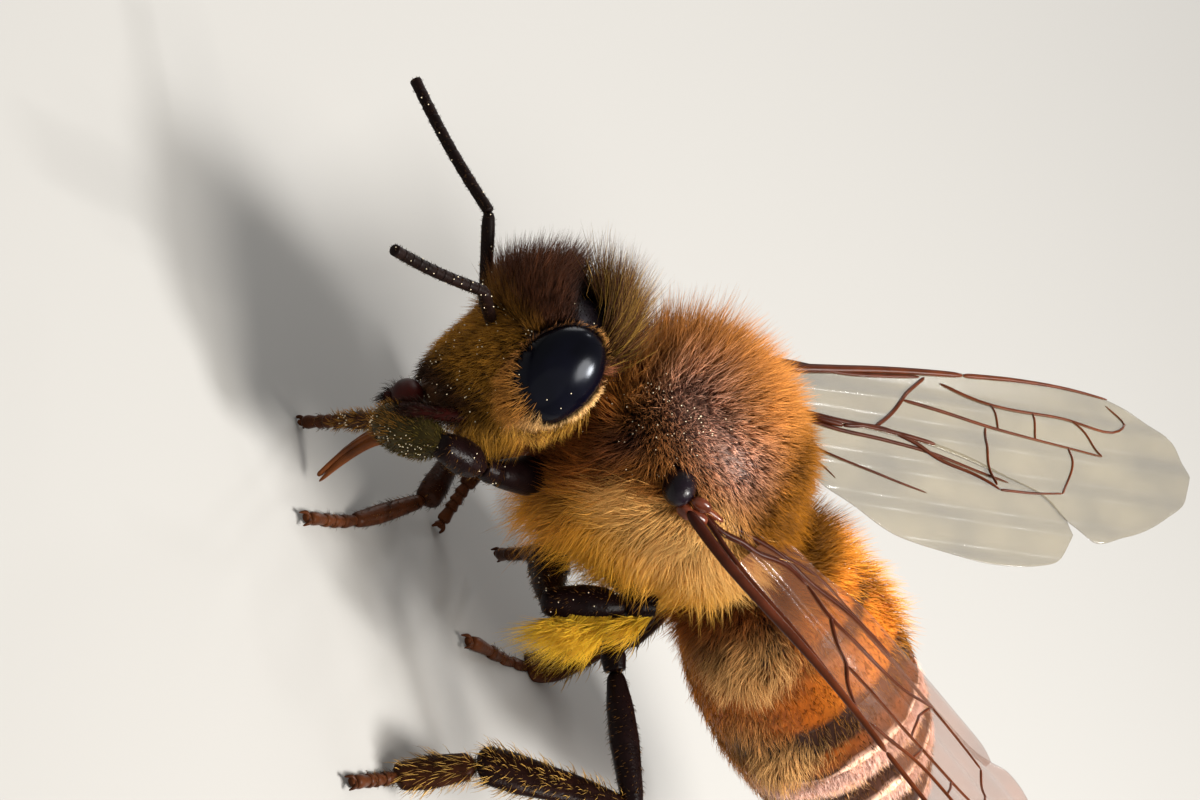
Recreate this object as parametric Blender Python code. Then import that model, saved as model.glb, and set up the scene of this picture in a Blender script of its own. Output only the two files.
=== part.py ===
"""Honey bee worker, life size, at rest on six legs with its wings half spread.

The bee is worked out in its own frame, in millimetres: x forward, y to its left, z up, with the
origin at the middle of the thorax. STANCE then tips it onto the floor, head towards -Y.
"""

import math

import bpy
import numpy as np

MM = 0.001
GAP = 0.04               # cut between neighbouring parts
THIN = 0.25              # half thickness of feelers, feet and wings

STANCE_PITCH = 16.0      # degrees that the head end is lower than the tail end
STANCE_HEIGHT = 5.6      # from the middle of the thorax down to the floor, along bee z

HEAD_PLACE = np.array([3.3, 0.0, -0.3])
HEAD_YAW, HEAD_PITCH, HEAD_ROLL = -9.0, -6.5, 36.0

EYE_MIDDLE = np.array([0.05, 1.48, 0.3])
EYE_SIZE = np.array([0.72, 0.46, 0.98])
LABRUM_MIDDLE = np.array([1.05, 0.0, -1.62])
LABRUM_SIZE = np.array([0.3, 0.44, 0.26])
TEGULA_MIDDLE = np.array([0.55, 1.9, 0.88])
TEGULA_SIZE = np.array([0.45, 0.32, 0.38])

WING_LENGTH = 9.2
WING_BASE = np.array([0.19, 1.75, 0.75])
# spread, rise and twist of each wing pair, in degrees
WING_ANGLES = {"left": (27.5, 0.9, 9.0), "right": (25.0, 12.7, 0.0)}

ABDOMEN_START = np.array([-2.15, 0.0, -0.88])
ABDOMEN_DROOP = 26.0
ABDOMEN_DEPTH = 0.97     # depth over width

BLACK = (0.02, 0.015, 0.012)
BROWN = (0.09, 0.035, 0.015)
AMBER = (0.45, 0.2, 0.06)
GOLD = (0.42, 0.22, 0.06)
ORANGE = (0.6, 0.2, 0.03)
SMOKE = (0.35, 0.28, 0.2)


def turn(axis, degrees):
    """Rotation matrix about one axis of the bee frame."""
    a = math.radians(degrees)
    c, s = math.cos(a), math.sin(a)
    i, j = {"x": (1, 2), "y": (2, 0), "z": (0, 1)}[axis]
    m = np.eye(3)
    m[i, i] = m[j, j] = c
    m[i, j], m[j, i] = -s, s
    return m


HEAD_TURN = turn("z", HEAD_YAW) @ turn("y", HEAD_PITCH) @ turn("x", HEAD_ROLL)


def from_head(points):
    """Points of the head's own frame (x out of the face, z to the crown) in the bee frame."""
    return HEAD_PLACE + np.asarray(points, float) @ HEAD_TURN.T


def to_floor(points):
    """Bee frame in mm to the floor frame in mm: head towards -Y, left towards +X, floor at z = 0."""
    p = np.asarray(points, float)
    a = math.radians(STANCE_PITCH)
    ahead = p[:, 0] * math.cos(a) + p[:, 2] * math.sin(a)
    up = (p[:, 2] + STANCE_HEIGHT) * math.cos(a) - p[:, 0] * math.sin(a)
    return np.stack([p[:, 1], -ahead, up], axis=1)


def floor_height(x):
    """Bee-frame z of the floor below the point x."""
    return -STANCE_HEIGHT + math.tan(math.radians(STANCE_PITCH)) * x


def finish(name, colour, roughness):
    """A plain material for one sub-part."""
    material = bpy.data.materials.new(name)
    material.use_nodes = True
    shader = material.node_tree.nodes["Principled BSDF"]
    shader.inputs["Base Color"].default_value = (*colour, 1.0)
    shader.inputs["Roughness"].default_value = roughness
    shader.inputs["Metallic"].default_value = 0.0
    return material


def solid(name, points, faces, colour, roughness=0.6):
    """A closed mesh object from bee-frame points, smooth shaded, in its own material."""
    mesh = bpy.data.meshes.new(name)
    mesh.from_pydata((to_floor(points) * MM).tolist(), [], [list(f) for f in faces])
    mesh.validate()
    obj = bpy.data.objects.new(name, mesh)
    bpy.context.scene.collection.objects.link(obj)
    mesh.materials.append(finish(name, colour, roughness))
    mesh.shade_smooth()
    mesh.set_sharp_from_angle(angle=math.radians(50))
    return obj


def loft_faces(rings, sides):
    """Quads between rings of points, and a cap at each end, all facing outwards."""
    faces = []
    for r in range(rings - 1):
        for s in range(sides):
            a, b = r * sides + s, r * sides + (s + 1) % sides
            faces.append((a, b, b + sides, a + sides))
    faces.append(tuple(range(sides))[::-1])
    faces.append(tuple(range((rings - 1) * sides, rings * sides)))
    return faces


def loft(name, rings, colour, roughness=0.6):
    """One closed solid through rings of points that run anticlockwise seen from the last ring."""
    rings = np.asarray(rings, float)
    count, sides = rings.shape[:2]
    return solid(name, rings.reshape(-1, 3), loft_faces(count, sides), colour, roughness)


def smooth(values, stations, knots):
    """Catmull-Rom values at the stations through the knots."""
    values, knots = np.asarray(values, float), np.asarray(knots, float)
    slopes = np.gradient(values, knots, axis=0)
    i = np.clip(np.searchsorted(knots, stations, side="right") - 1, 0, len(knots) - 2)
    span = (knots[i + 1] - knots[i])[:, None]
    u = ((stations - knots[i]) / span[:, 0])[:, None]
    low, high = values[i], values[i + 1]
    return (
        (2 * u**3 - 3 * u**2 + 1) * low
        + (u**3 - 2 * u**2 + u) * span * slopes[i]
        + (3 * u**2 - 2 * u**3) * high
        + (u**3 - u**2) * span * slopes[i + 1]
    )


def oval(angles, exponent=2.0):
    """Unit superellipse: cosine and sine raised to 2 / exponent."""
    c, s = np.cos(angles), np.sin(angles)
    power = 2.0 / exponent
    return np.sign(c) * np.abs(c) ** power, np.sign(s) * np.abs(s) ** power


def frames(path):
    """Tangent and two cross directions at each point of a path, carried along without twist."""
    path = np.asarray(path, float)
    tangent = np.gradient(path, axis=0)
    tangent /= np.linalg.norm(tangent, axis=1, keepdims=True)
    side = np.zeros_like(path)
    start = np.cross(tangent[0], (0.0, 0.0, 1.0))
    side[0] = start / np.linalg.norm(start)
    for i in range(1, len(path)):
        s = side[i - 1] - tangent[i] * (side[i - 1] @ tangent[i])
        side[i] = s / np.linalg.norm(s)
    return tangent, side, np.cross(tangent, side)


def tube(name, path, radii, colour, sides=8, flatten=1.0, roughness=0.4):
    """A round or flattened limb along a path, its radii given at the path's points."""
    path, radii = np.asarray(path, float), np.asarray(radii, float)
    _, side, over = frames(path)
    angles = np.arange(sides) * 2 * math.pi / sides
    wide, deep = np.cos(angles), np.sin(angles) * flatten
    rings = (
        path[:, None]
        + radii[:, None, None] * wide[None, :, None] * side[:, None]
        + np.maximum(radii * flatten, np.minimum(radii, THIN))[:, None, None]
        * (deep / flatten)[None, :, None] * over[:, None]
    )
    return loft(name, rings, colour, roughness)


def clearance(before, joint, after, end_radius, start_radius):
    """How far past a joint the next limb starts, so that it misses the last one."""
    back, ahead = before - joint, after - joint
    cosine = back @ ahead / (np.linalg.norm(back) * np.linalg.norm(ahead))
    half = math.sin(math.acos(max(-1.0, min(1.0, cosine))) / 2)
    return max(end_radius + GAP, (end_radius + start_radius + GAP) / (2 * half))


def segment(name, before, start, end, end_radius, profile, colour, **style):
    """One leg or feeler segment: flat foot where it starts, round knuckle where it ends.

    profile lists (share of the length, radius). before is the last segment's far end.
    """
    start, end = np.asarray(start, float), np.asarray(end, float)
    length = np.linalg.norm(end - start)
    ahead = (end - start) / length
    first_radius = profile[0][1]
    skip = 0.0
    if before is not None:
        skip = clearance(np.asarray(before, float), start, end, end_radius, first_radius)
    along = [skip + (length - skip) * share for share, _ in profile]
    radii = [radius for _, radius in profile]
    last = radii[-1]
    for angle in (30, 60, 80):
        along.append(length + last * math.sin(math.radians(angle)))
        radii.append(last * math.cos(math.radians(angle)))
    path = start + np.asarray(along)[:, None] * ahead
    return tube(name, path, radii, colour, **style)


def ball(name, middle, size, colour, rows=10, sides=16, place=None, roughness=0.25):
    """An egg-shaped solid, its rows running along z of its own frame."""
    lat = np.linspace(-math.pi / 2, math.pi / 2, rows + 1)[1:-1]
    lon = np.arange(sides) * 2 * math.pi / sides
    rings = np.stack(
        [
            np.cos(lat)[:, None] * np.cos(lon) * size[0],
            np.cos(lat)[:, None] * np.sin(lon) * size[1],
            np.sin(lat)[:, None] * np.ones(sides) * size[2],
        ],
        axis=-1,
    ) + middle
    poles = np.array([middle - (0, 0, size[2]), middle + (0, 0, size[2])])
    points = np.vstack([rings.reshape(-1, 3), poles])
    faces = loft_faces(rows - 1, sides)[:-2]
    low, high = len(points) - 2, len(points) - 1
    top = (rows - 2) * sides
    for s in range(sides):
        faces.append((low, (s + 1) % sides, s))
        faces.append((high, top + s, top + (s + 1) % sides))
    return solid(name, place(points) if place else points, faces, colour, roughness)


def swollen(obj, by):
    """A hidden copy of a part, pushed out along its normals, to cut its neighbours with."""
    copy = obj.copy()
    copy.data = obj.data.copy()
    copy.modifiers.clear()
    copy.name = "cutter_" + obj.name
    bpy.context.scene.collection.objects.link(copy)
    mesh = copy.data
    count = len(mesh.vertices)
    place = np.empty(count * 3)
    normal = np.empty(count * 3)
    mesh.vertices.foreach_get("co", place)
    mesh.vertex_normals.foreach_get("vector", normal)
    mesh.vertices.foreach_set("co", place + normal * by * MM)
    copy.hide_render = True
    copy.display_type = "WIRE"
    return copy


def cut(obj, *cutters, by=GAP):
    """Cut each neighbour's swollen copy out of a part, leaving the gap."""
    for other in cutters:
        tool = obj.modifiers.new("clear_" + other.name, "BOOLEAN")
        tool.operation = "DIFFERENCE"
        tool.solver = "EXACT"
        tool.object = swollen(other, by)


def clear_scene():
    for obj in list(bpy.data.objects):
        bpy.data.objects.remove(obj)


def make_thorax():
    """Trunk out to the tips of its fur: stations (x, half width, top, bottom)."""
    stations = np.array([
        (2.45, 0.8, 0.95, -1.15),
        (2.2, 1.3, 1.6, -1.65),
        (1.6, 1.85, 2.25, -2.15),
        (0.8, 2.2, 2.6, -2.45),
        (0.0, 2.35, 2.65, -2.55),
        (-0.9, 2.25, 2.55, -2.5),
        (-1.7, 1.9, 2.15, -2.25),
        (-2.3, 1.35, 1.45, -1.8),
        (-2.65, 0.7, 0.65, -1.2),
    ])[::-1]
    x = np.linspace(stations[0, 0], stations[-1, 0], 14)
    wide, top, low = smooth(stations[:, 1:], x, stations[:, 0]).T
    angles = np.arange(22) * 2 * math.pi / 22
    c, s = oval(angles, 2.15)
    middle, tall = (top + low) / 2, (top - low) / 2
    rings = np.stack(
        [
            np.repeat(x[:, None], 22, axis=1),
            wide[:, None] * c,
            middle[:, None] + tall[:, None] * s,
        ],
        axis=-1,
    )
    return loft("thorax", rings, GOLD, 0.9)


def make_head():
    """Head out to the tips of its fur: stations (z, face, back, half width)."""
    stations = np.array([
        (-1.65, 0.85, 0.25, 0.45),
        (-1.4, 1.08, -0.1, 0.85),
        (-1.0, 1.18, -0.6, 1.2),
        (-0.4, 1.18, -0.85, 1.45),
        (0.2, 1.2, -0.9, 1.52),
        (0.8, 1.42, -0.85, 1.5),
        (1.3, 1.62, -0.75, 1.4),
        (1.75, 1.58, -0.6, 1.2),
        (2.15, 1.35, -0.5, 0.98),
        (2.45, 1.03, -0.35, 0.72),
        (2.66, 0.6, -0.1, 0.38),
    ])
    z = np.linspace(stations[0, 0], stations[-1, 0], 15)
    face, back, wide = smooth(stations[:, 1:], z, stations[:, 0]).T
    angles = np.arange(22) * 2 * math.pi / 22
    c, s = oval(angles, 2.2)
    middle, deep = (face + back) / 2, (face - back) / 2
    rings = np.stack(
        [
            middle[:, None] + deep[:, None] * c,
            wide[:, None] * s,
            np.repeat(z[:, None], 22, axis=1),
        ],
        axis=-1,
    )
    return loft("head", from_head(rings.reshape(-1, 3)).reshape(rings.shape), BROWN, 0.9)


def make_eye(side):
    """Compound eye: a tall oval set into the side of the head."""
    sign = 1 if side == "left" else -1
    middle = EYE_MIDDLE * (1, sign, 1)
    return ball("eye_" + side, middle, EYE_SIZE, BLACK, place=from_head, roughness=0.1)


def make_tegula(side):
    """Shell scale over the wing's hinge."""
    sign = 1 if side == "left" else -1
    middle = TEGULA_MIDDLE * (1, sign, 1)
    return ball("tegula_" + side, middle, TEGULA_SIZE, BLACK, 7, 12)


def make_mandible(side):
    """Jaw: from its hinge below the eye, curving in and forward to a round spoon."""
    sign = 1 if side == "left" else -1
    knots = np.array([(0.35, 0.95, -1.4), (0.78, 0.76, -1.7), (1.1, 0.34, -2.02)])
    path = smooth(knots, np.linspace(0, 2, 7), np.arange(3)) * (1, sign, 1)
    radii = (0.2, 0.26, 0.27, 0.27, 0.26, 0.25, 0.12)
    return tube("mandible_" + side, from_head(path), radii, BROWN, roughness=0.2)


def make_labrum():
    """Upper lip: a smooth dome below the face plate."""
    return ball("labrum", LABRUM_MIDDLE, LABRUM_SIZE, BROWN, 7, 12, from_head)


def make_proboscis():
    """Folded tongue and its sheaths, hanging from below the jaws to a point."""
    knots = np.array([(3.88, 0.42, -2.5), (4.12, 0.3, -3.05), (4.4, 0.74, -4.1)])
    path = smooth(knots, np.linspace(0, 2, 7), np.arange(3))
    return tube("proboscis", path, (0.22, 0.28, 0.3, 0.28, 0.26, 0.25, 0.14), AMBER)


def make_antenna(side):
    """Feeler: a stiff scape, then the bent flagellum."""
    knots = {
        "left": ((4.24, 0.05, 0.01), (5.2, 0.69, 0.97), (7.28, 1.9, 1.5)),
        "right": ((4.18, -0.42, -0.35), (5.13, -1.59, 0.69), (6.72, -3.56, 0.45)),
    }[side]
    root, elbow, tip = np.array(knots)
    scape = segment("antenna_" + side + "_scape", None, root, elbow, 0,
                    [(0, 0.2), (0.15, THIN), (0.9, THIN)], BLACK)
    flagellum = segment("antenna_" + side + "_flagellum", root, elbow, tip, THIN,
                        [(0, 0.2), (0.1, THIN), (1, THIN)], BLACK)
    return scape, flagellum


def wing_axes(side):
    """Directions along the wing, towards its rear edge, and out of its upper face."""
    sign = 1 if side == "left" else -1
    spread, rise, twist = (math.radians(v) for v in WING_ANGLES[side])
    along = np.array([
        -math.cos(rise) * math.cos(spread),
        sign * math.cos(rise) * math.sin(spread),
        math.sin(rise),
    ])
    rear = np.cross((0, 0, 1.0), along)
    rear *= -sign / np.linalg.norm(rear) * np.sign(rear[1])
    above = np.cross(along, rear)
    above *= np.sign(above[2])
    rear = rear * math.cos(twist) - above * math.sin(twist)
    above = np.cross(along, rear)
    return along, rear, above * np.sign(above[2])


def wing_plate(name, side, outline):
    """A plate of the wing's outline, in wing lengths, with a narrowed rim."""
    along, rear, above = wing_axes(side)
    sign = 1 if side == "left" else -1
    base = WING_BASE * (1, sign, 1)
    flat = np.asarray(outline) * WING_LENGTH
    inward = flat.mean(axis=0) - flat
    inward /= np.linalg.norm(inward, axis=1, keepdims=True)
    rings = []
    for height, inset in ((-THIN, 0.16), (-0.1, 0.0), (0.1, 0.0), (THIN, 0.16)):
        edge = flat + inward * inset
        rings.append(base + np.outer(edge[:, 0], along) + np.outer(edge[:, 1], rear) + above * height)
    rings = np.array(rings)
    anticlockwise = np.cross(along, rear) @ above > 0
    return loft(name, rings if anticlockwise else rings[:, ::-1], SMOKE, 0.3)


# Fold between the wings of a pair: rear edge of the forewing and front edge of the hindwing.
FOLDS = {
    "left": np.array([(0.03, 0.03), (0.1, 0.085), (0.2, 0.14), (0.32, 0.2), (0.44, 0.235), (0.56, 0.252),
                      (0.66, 0.27), (0.71, 0.295)]),
    "right": np.array([(0.03, 0.03), (0.1, 0.075), (0.2, 0.11), (0.32, 0.125), (0.44, 0.145),
                       (0.58, 0.19), (0.66, 0.235), (0.71, 0.285)]),
}
# How much of the hindwing shows behind the fold: the left one has slid partly under
HINDWING_SHOWN = {"left": 0.62, "right": 1.0}
FOREWING_FRONT = np.array([(0.02, -0.03), (0.12, -0.035), (0.3, -0.035), (0.5, -0.037), (0.62, -0.034),
                           (0.75, -0.03), (0.87, -0.015), (0.95, 0.03), (1.0, 0.1), (1.005, 0.155),
                           (0.98, 0.21), (0.92, 0.255), (0.82, 0.3), (0.74, 0.318)])
HINDWING_REAR = np.array([(0.705, 0.325), (0.66, 0.36), (0.6, 0.38), (0.5, 0.385), (0.4, 0.365),
                          (0.3, 0.33), (0.2, 0.27), (0.12, 0.19), (0.06, 0.11)])
FOLD_GAP = (0.05 + GAP) / WING_LENGTH


def make_wings(side):
    """Forewing and hindwing, hooked together along the fold."""
    fold = FOLDS[side]
    front = np.vstack([FOREWING_FRONT, fold[::-1] - (0, FOLD_GAP / 2)])
    crease = np.interp(HINDWING_REAR[:, 0], fold[:, 0], fold[:, 1])
    shown = crease + HINDWING_SHOWN[side] * (HINDWING_REAR[:, 1] - crease)
    rear = np.vstack([fold + (0, FOLD_GAP / 2), np.stack([HINDWING_REAR[:, 0], shown], axis=1)])
    return (
        wing_plate("forewing_" + side, side, front),
        wing_plate("hindwing_" + side, side, rear),
    )


def abdomen_size(s):
    """Half width at a distance s along the abdomen."""
    knots = np.array([0.0, 0.35, 0.8, 1.5, 2.5, 3.4, 4.4, 5.3, 6.1, 6.7, 7.0])
    wide = np.array([1.1, 1.55, 1.8, 2.03, 2.12, 2.07, 1.86, 1.48, 0.98, 0.45, 0.12])
    return smooth(wide[:, None], np.atleast_1d(s), knots)[:, 0]


ABDOMEN_CUTS = (0.15, 1.3, 2.45, 3.55, 4.6, 5.6, 6.95)


def make_abdomen():
    """Six ringed segments, parted by thin cuts square to the abdomen's axis."""
    droop = math.radians(ABDOMEN_DROOP)
    back = np.array([-math.cos(droop), 0, -math.sin(droop)])
    up = np.array([-math.sin(droop), 0, math.cos(droop)])
    across = np.array([0, 1.0, 0])
    angles = np.arange(20) * 2 * math.pi / 20
    c, s = oval(angles, 2.1)
    parts = []
    for number in range(6):
        low, high = ABDOMEN_CUTS[number] + GAP / 2, ABDOMEN_CUTS[number + 1] - GAP / 2
        stations = np.linspace(low, high, 5 if number < 5 else 7)
        wide = abdomen_size(stations)
        rings = (
            (ABDOMEN_START + stations[:, None] * back)[:, None]
            + wide[:, None, None] * c[None, :, None] * across
            + ABDOMEN_DEPTH * wide[:, None, None] * s[None, :, None] * up
        )
        parts.append(loft(f"abdomen_{number + 1}", rings[:, ::-1], ORANGE, 0.6))
    return parts


# Joints of each leg in the bee frame: root, trochanter end, knee, ankle, foot and, where the
# foot lies along the floor, its toe. None as a height means on the floor.
LEGS = {
    "fore_left": ((1.7, 0.55, -1.5), (2.75, 1.4, -1.4), (4.06, 1.98, -1.14), (4.66, 1.02, -2.13),
                  (4.9, -0.2, None)),
    "mid_left": ((0.0, 0.75, -1.85), (-0.87, 1.67, -1.6), (0.59, 2.04, -2.46),
                 (0.26, 0.1, -3.07), (-0.04, -1.47, -4.9)),
    "hind_left": ((-1.2, 0.7, -2.0), (-0.9, 1.94, -2.54), (-2.33, 4.1, -3.33),
                  (0.35, 4.65, -4.01), (1.4, 5.03, None), (2.3, 6.0, None)),
    "fore_right": ((1.7, -0.55, -1.5), (2.1, -1.1, -2.15), (2.0, -1.7, -3.55),
                   (2.2, -0.45, -4.05), (3.25, 0.56, None), (4.42, 1.7, None)),
    "mid_right": ((0.0, -0.75, -1.85), (-0.1, -1.5, -2.3), (0.5, -3.2, -2.6),
                  (1.0, -2.7, -4.2), (1.08, -1.6, None)),
    "hind_right": ((-1.0, -0.75, -1.85), (-1.4, -1.6, -2.3), (-3.3, -3.3, -2.6),
                   (-2.9, -1.9, -5.2), (-2.2, -1.25, None), (-0.1, 0.25, None)),
}
# Radii (coxa, femur, knee, tibia, ankle, foot) of each pair
LEG_RADII = {
    "fore": (0.38, 0.33, 0.27, 0.34, 0.27, 0.25),
    "mid": (0.34, 0.34, 0.28, 0.32, 0.28, 0.25),
    "hind": (0.34, 0.3, 0.27, 0.42, 0.3, 0.25),
}
FOOT_RISE = 0.2          # middle of a foot above the floor: less than its radius, so it has a flat


def leg_joints(name):
    joints = []
    for x, y, z in LEGS[name]:
        height = floor_height(x) + FOOT_RISE / math.cos(math.radians(STANCE_PITCH)) if z is None else z
        joints.append((x, y, height))
    return np.array(joints)


def make_leg(name):
    """Coxa, femur, tibia and tarsus of one leg."""
    coxa, femur, knee, tibia, ankle, foot = LEG_RADII[name.split("_")[0]]
    j = leg_joints(name)
    broad = 0.62 if name.startswith("hind") else 1.0
    parts = [
        segment("coxa_" + name, None, j[0], j[1], 0,
                [(0, coxa * 0.7), (0.3, coxa), (0.8, coxa * 0.8), (0.95, 0.27)], BLACK),
        segment("femur_" + name, j[0], j[1], j[2], 0.27,
                [(0, THIN), (0.2, femur), (0.6, femur), (1, knee)], BLACK),
        segment("tibia_" + name, j[1], j[2], j[3], knee,
                [(0, THIN), (0.25, tibia * 0.85), (0.7, tibia), (0.92, tibia * 0.9), (1, ankle)],
                BLACK, flatten=broad),
    ]
    parts.append(make_tarsus("tarsus_" + name, j[2], j[3:], ankle, foot))
    return parts


def make_tarsus(name, before, joints, ankle, foot):
    """Foot: a long first joint and the small ones after it, with a flat where it stands."""
    ahead = (joints[1] - joints[0]) / np.linalg.norm(joints[1] - joints[0])
    skip = clearance(before, joints[0], joints[1], ankle, 0.22)
    start = joints[0] + ahead * skip
    knots = np.vstack([start, joints[1:]])
    reach = np.r_[0, np.cumsum(np.linalg.norm(np.diff(knots, axis=0), axis=1))]
    stations = np.linspace(0, reach[-1], 5 + 3 * (len(knots) - 1))
    path = smooth(knots, stations, reach) if len(knots) > 2 else start + stations[:, None] * ahead
    radii = np.full(len(path), foot)
    radii[0] = 0.22
    tip = ((path[-1] - path[-2]) / np.linalg.norm(path[-1] - path[-2]))
    for angle in (30, 60, 80):
        offset = foot * math.sin(math.radians(angle))
        path = np.vstack([path, path[np.argmax(stations)] + tip * offset])
        radii = np.r_[radii, foot * math.cos(math.radians(angle))]
    return tube(name, path, radii, BROWN)


def make_floor_cutter():
    """Everything below the floor, to leave the flats that the feet stand on."""
    wide, deep = 30.0, 5.0
    x = np.array([-wide, wide])
    points = [(a, b, c) for c in (-deep, 0.0) for b in x for a in x]
    faces = ((0, 2, 3, 1), (4, 5, 7, 6), (0, 1, 5, 4), (1, 3, 7, 5), (3, 2, 6, 7), (2, 0, 4, 6))
    mesh = bpy.data.meshes.new("cutter_floor")
    mesh.from_pydata((np.array(points) * MM).tolist(), [], faces)
    obj = bpy.data.objects.new("cutter_floor", mesh)
    bpy.context.scene.collection.objects.link(obj)
    obj.hide_render = True
    obj.display_type = "WIRE"
    return obj


def stand_on(obj, floor):
    """Cut away what would be below the floor."""
    tool = obj.modifiers.new("flat", "BOOLEAN")
    tool.operation = "DIFFERENCE"
    tool.solver = "EXACT"
    tool.object = floor


def centre_on_origin(parts):
    """Move every part so that the whole box stands centred on the origin."""
    corners = np.array([v.co for p in parts for v in p.data.vertices])
    middle = (corners.min(axis=0) + corners.max(axis=0)) / 2
    for obj in bpy.data.objects:
        if obj.type == "MESH":
            obj.location = (-middle[0], -middle[1], 0.0)


clear_scene()
thorax = make_thorax()
head = make_head()
eyes = [make_eye(side) for side in ("left", "right")]
tegulae = [make_tegula(side) for side in ("left", "right")]
mandibles = [make_mandible(side) for side in ("left", "right")]
labrum = make_labrum()
proboscis = make_proboscis()
antennae = [part for side in ("left", "right") for part in make_antenna(side)]
wings = [part for side in ("left", "right") for part in make_wings(side)]
abdomen = make_abdomen()
legs = {name: make_leg(name) for name in LEGS}
leg_parts = [part for group in legs.values() for part in group]
floor = make_floor_cutter()
for name, group in legs.items():
    if len(LEGS[name]) > 5 or LEGS[name][-1][2] is None:
        stand_on(group[-1], floor)

cut(head, *eyes, *mandibles, labrum, *antennae[::2])
cut(labrum, *mandibles)
cut(mandibles[0], *legs["fore_left"][1:3])
cut(thorax, head, *tegulae)
cut(thorax, *wings, by=2 * GAP)
cut(thorax, *[part for name in LEGS for part in legs[name][:2]])
for wing in wings:
    cut(wing, *tegulae)
cut(abdomen[0], thorax)
centre_on_origin([thorax, head, *eyes, *tegulae, *mandibles, labrum, proboscis, *antennae, *wings,
                  *abdomen, *leg_parts])
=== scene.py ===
"""Honey bee worker, life size: skin, coat, wings and limbs dressed over the fixed solids."""

import math

import bpy
import mathutils
import numpy as np
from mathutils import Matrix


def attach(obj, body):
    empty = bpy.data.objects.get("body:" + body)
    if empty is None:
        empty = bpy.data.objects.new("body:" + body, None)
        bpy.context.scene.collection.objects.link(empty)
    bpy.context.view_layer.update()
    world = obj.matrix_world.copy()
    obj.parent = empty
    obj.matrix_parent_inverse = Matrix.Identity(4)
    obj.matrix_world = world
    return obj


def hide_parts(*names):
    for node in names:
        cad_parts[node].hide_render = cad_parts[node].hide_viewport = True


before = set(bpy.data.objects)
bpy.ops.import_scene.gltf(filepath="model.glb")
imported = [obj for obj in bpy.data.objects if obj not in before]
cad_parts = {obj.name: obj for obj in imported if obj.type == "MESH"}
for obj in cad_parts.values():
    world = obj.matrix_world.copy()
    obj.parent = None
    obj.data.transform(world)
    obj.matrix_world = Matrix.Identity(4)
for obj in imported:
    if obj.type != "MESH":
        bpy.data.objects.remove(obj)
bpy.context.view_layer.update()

# ---- Trunk -----------------------------------------------------------------------------------
# The middle of the body: one horny shell, dark brown and finely grained, domed over the wing
# muscles, with the half-moon scutellum standing out at the back. The coat grows from it.

MM = 0.001
STANCE_PITCH = math.radians(16.0)
STANCE_HEIGHT = 5.6
STANCE_SHIFT = np.array([-0.5266, -0.7535, 0.0])


def to_floor(points):
    """Bee frame in mm (x forward, y left, z up) to the floor frame in metres.

    The bee is pitched head down about its left-right axis, raised by the stance height, and
    turned so that its head points along -Y.
    """
    p = np.asarray(points, float)
    c, s = math.cos(STANCE_PITCH), math.sin(STANCE_PITCH)
    ahead = p[..., 0] * c + p[..., 2] * s
    up = (p[..., 2] + STANCE_HEIGHT) * c - p[..., 0] * s
    return MM * (np.stack([p[..., 1], -ahead, up], axis=-1) + STANCE_SHIFT)


def piece(name, points, polygons, material, nodes=(), tint=None, patch=None):
    """A mesh object from bee-frame points and arrays of corner numbers.

    tint is a colour for each point, patch a place on the OFBake map for each point.
    """
    world = to_floor(points)
    corners = np.concatenate([f.ravel() for f in polygons])
    sizes = np.concatenate([np.full(len(f), f.shape[1]) for f in polygons])
    mesh = bpy.data.meshes.new(name)
    mesh.vertices.add(len(world))
    mesh.vertices.foreach_set("co", world.ravel())
    mesh.loops.add(len(corners))
    mesh.loops.foreach_set("vertex_index", corners.astype(np.int32))
    mesh.polygons.add(len(sizes))
    mesh.polygons.foreach_set("loop_start", (np.cumsum(sizes) - sizes).astype(np.int32))
    mesh.polygons.foreach_set("use_smooth", np.ones(len(sizes), bool))
    if tint is not None:
        layer = mesh.color_attributes.new(name="tint", type="FLOAT_COLOR", domain="POINT")
        layer.data.foreach_set("color", np.c_[tint, np.ones(len(tint))].ravel())
    if patch is not None:
        layer = mesh.uv_layers.new(name="OFBake")
        layer.data.foreach_set("uv", patch[corners].ravel())
    mesh.update(calc_edges=True)
    mesh.materials.append(material)
    obj = bpy.data.objects.new(name, mesh)
    bpy.context.scene.collection.objects.link(obj)
    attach(obj, "root")
    if nodes:
        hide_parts(*nodes)


def outwards(grid):
    """The grid with its columns run the way that makes its faces point out: positive volume."""
    after = np.roll(grid, -1, axis=1)
    middle = grid.mean(axis=(0, 1))
    a, b, c = grid[:-1] - middle, after[:-1] - middle, grid[1:] - middle
    return grid if np.einsum("ijk,ijk->", a, np.cross(b, c)) > 0 else grid[:, ::-1]


def shells(name, grids, material, nodes=(), tints=None):
    """Closed shells from grids of rings: quads between rings, a fan to the middle of each end.

    tints is one colour for each grid, or a function from points to colours.
    """
    points, quads, fans, colours, first = [], [], [], [], 0
    for k, grid in enumerate(grids):
        grid = outwards(grid)
        rows, cols = grid.shape[:2]
        index = first + np.arange(rows * cols).reshape(rows, cols)
        after = np.roll(index, -1, axis=1)
        quads.append(
            np.stack([index[:-1], after[:-1], after[1:], index[1:]], axis=-1).reshape(-1, 4)
        )
        low = first + rows * cols
        fans.append(np.stack([np.full(cols, low), after[0], index[0]], axis=-1))
        fans.append(np.stack([np.full(cols, low + 1), index[-1], after[-1]], axis=-1))
        block = np.concatenate([grid.reshape(-1, 3), grid[[0, -1]].mean(axis=1)])
        points.append(block)
        if tints is not None:
            plain = not callable(tints)
            colours.append(np.tile(tints[k], (len(block), 1)) if plain else tints(block))
        first = low + 2
    tint = np.concatenate(colours) if colours else None
    faces = [np.concatenate(quads), np.concatenate(fans)]
    piece(name, np.concatenate(points), faces, material, nodes, tint)


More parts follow.
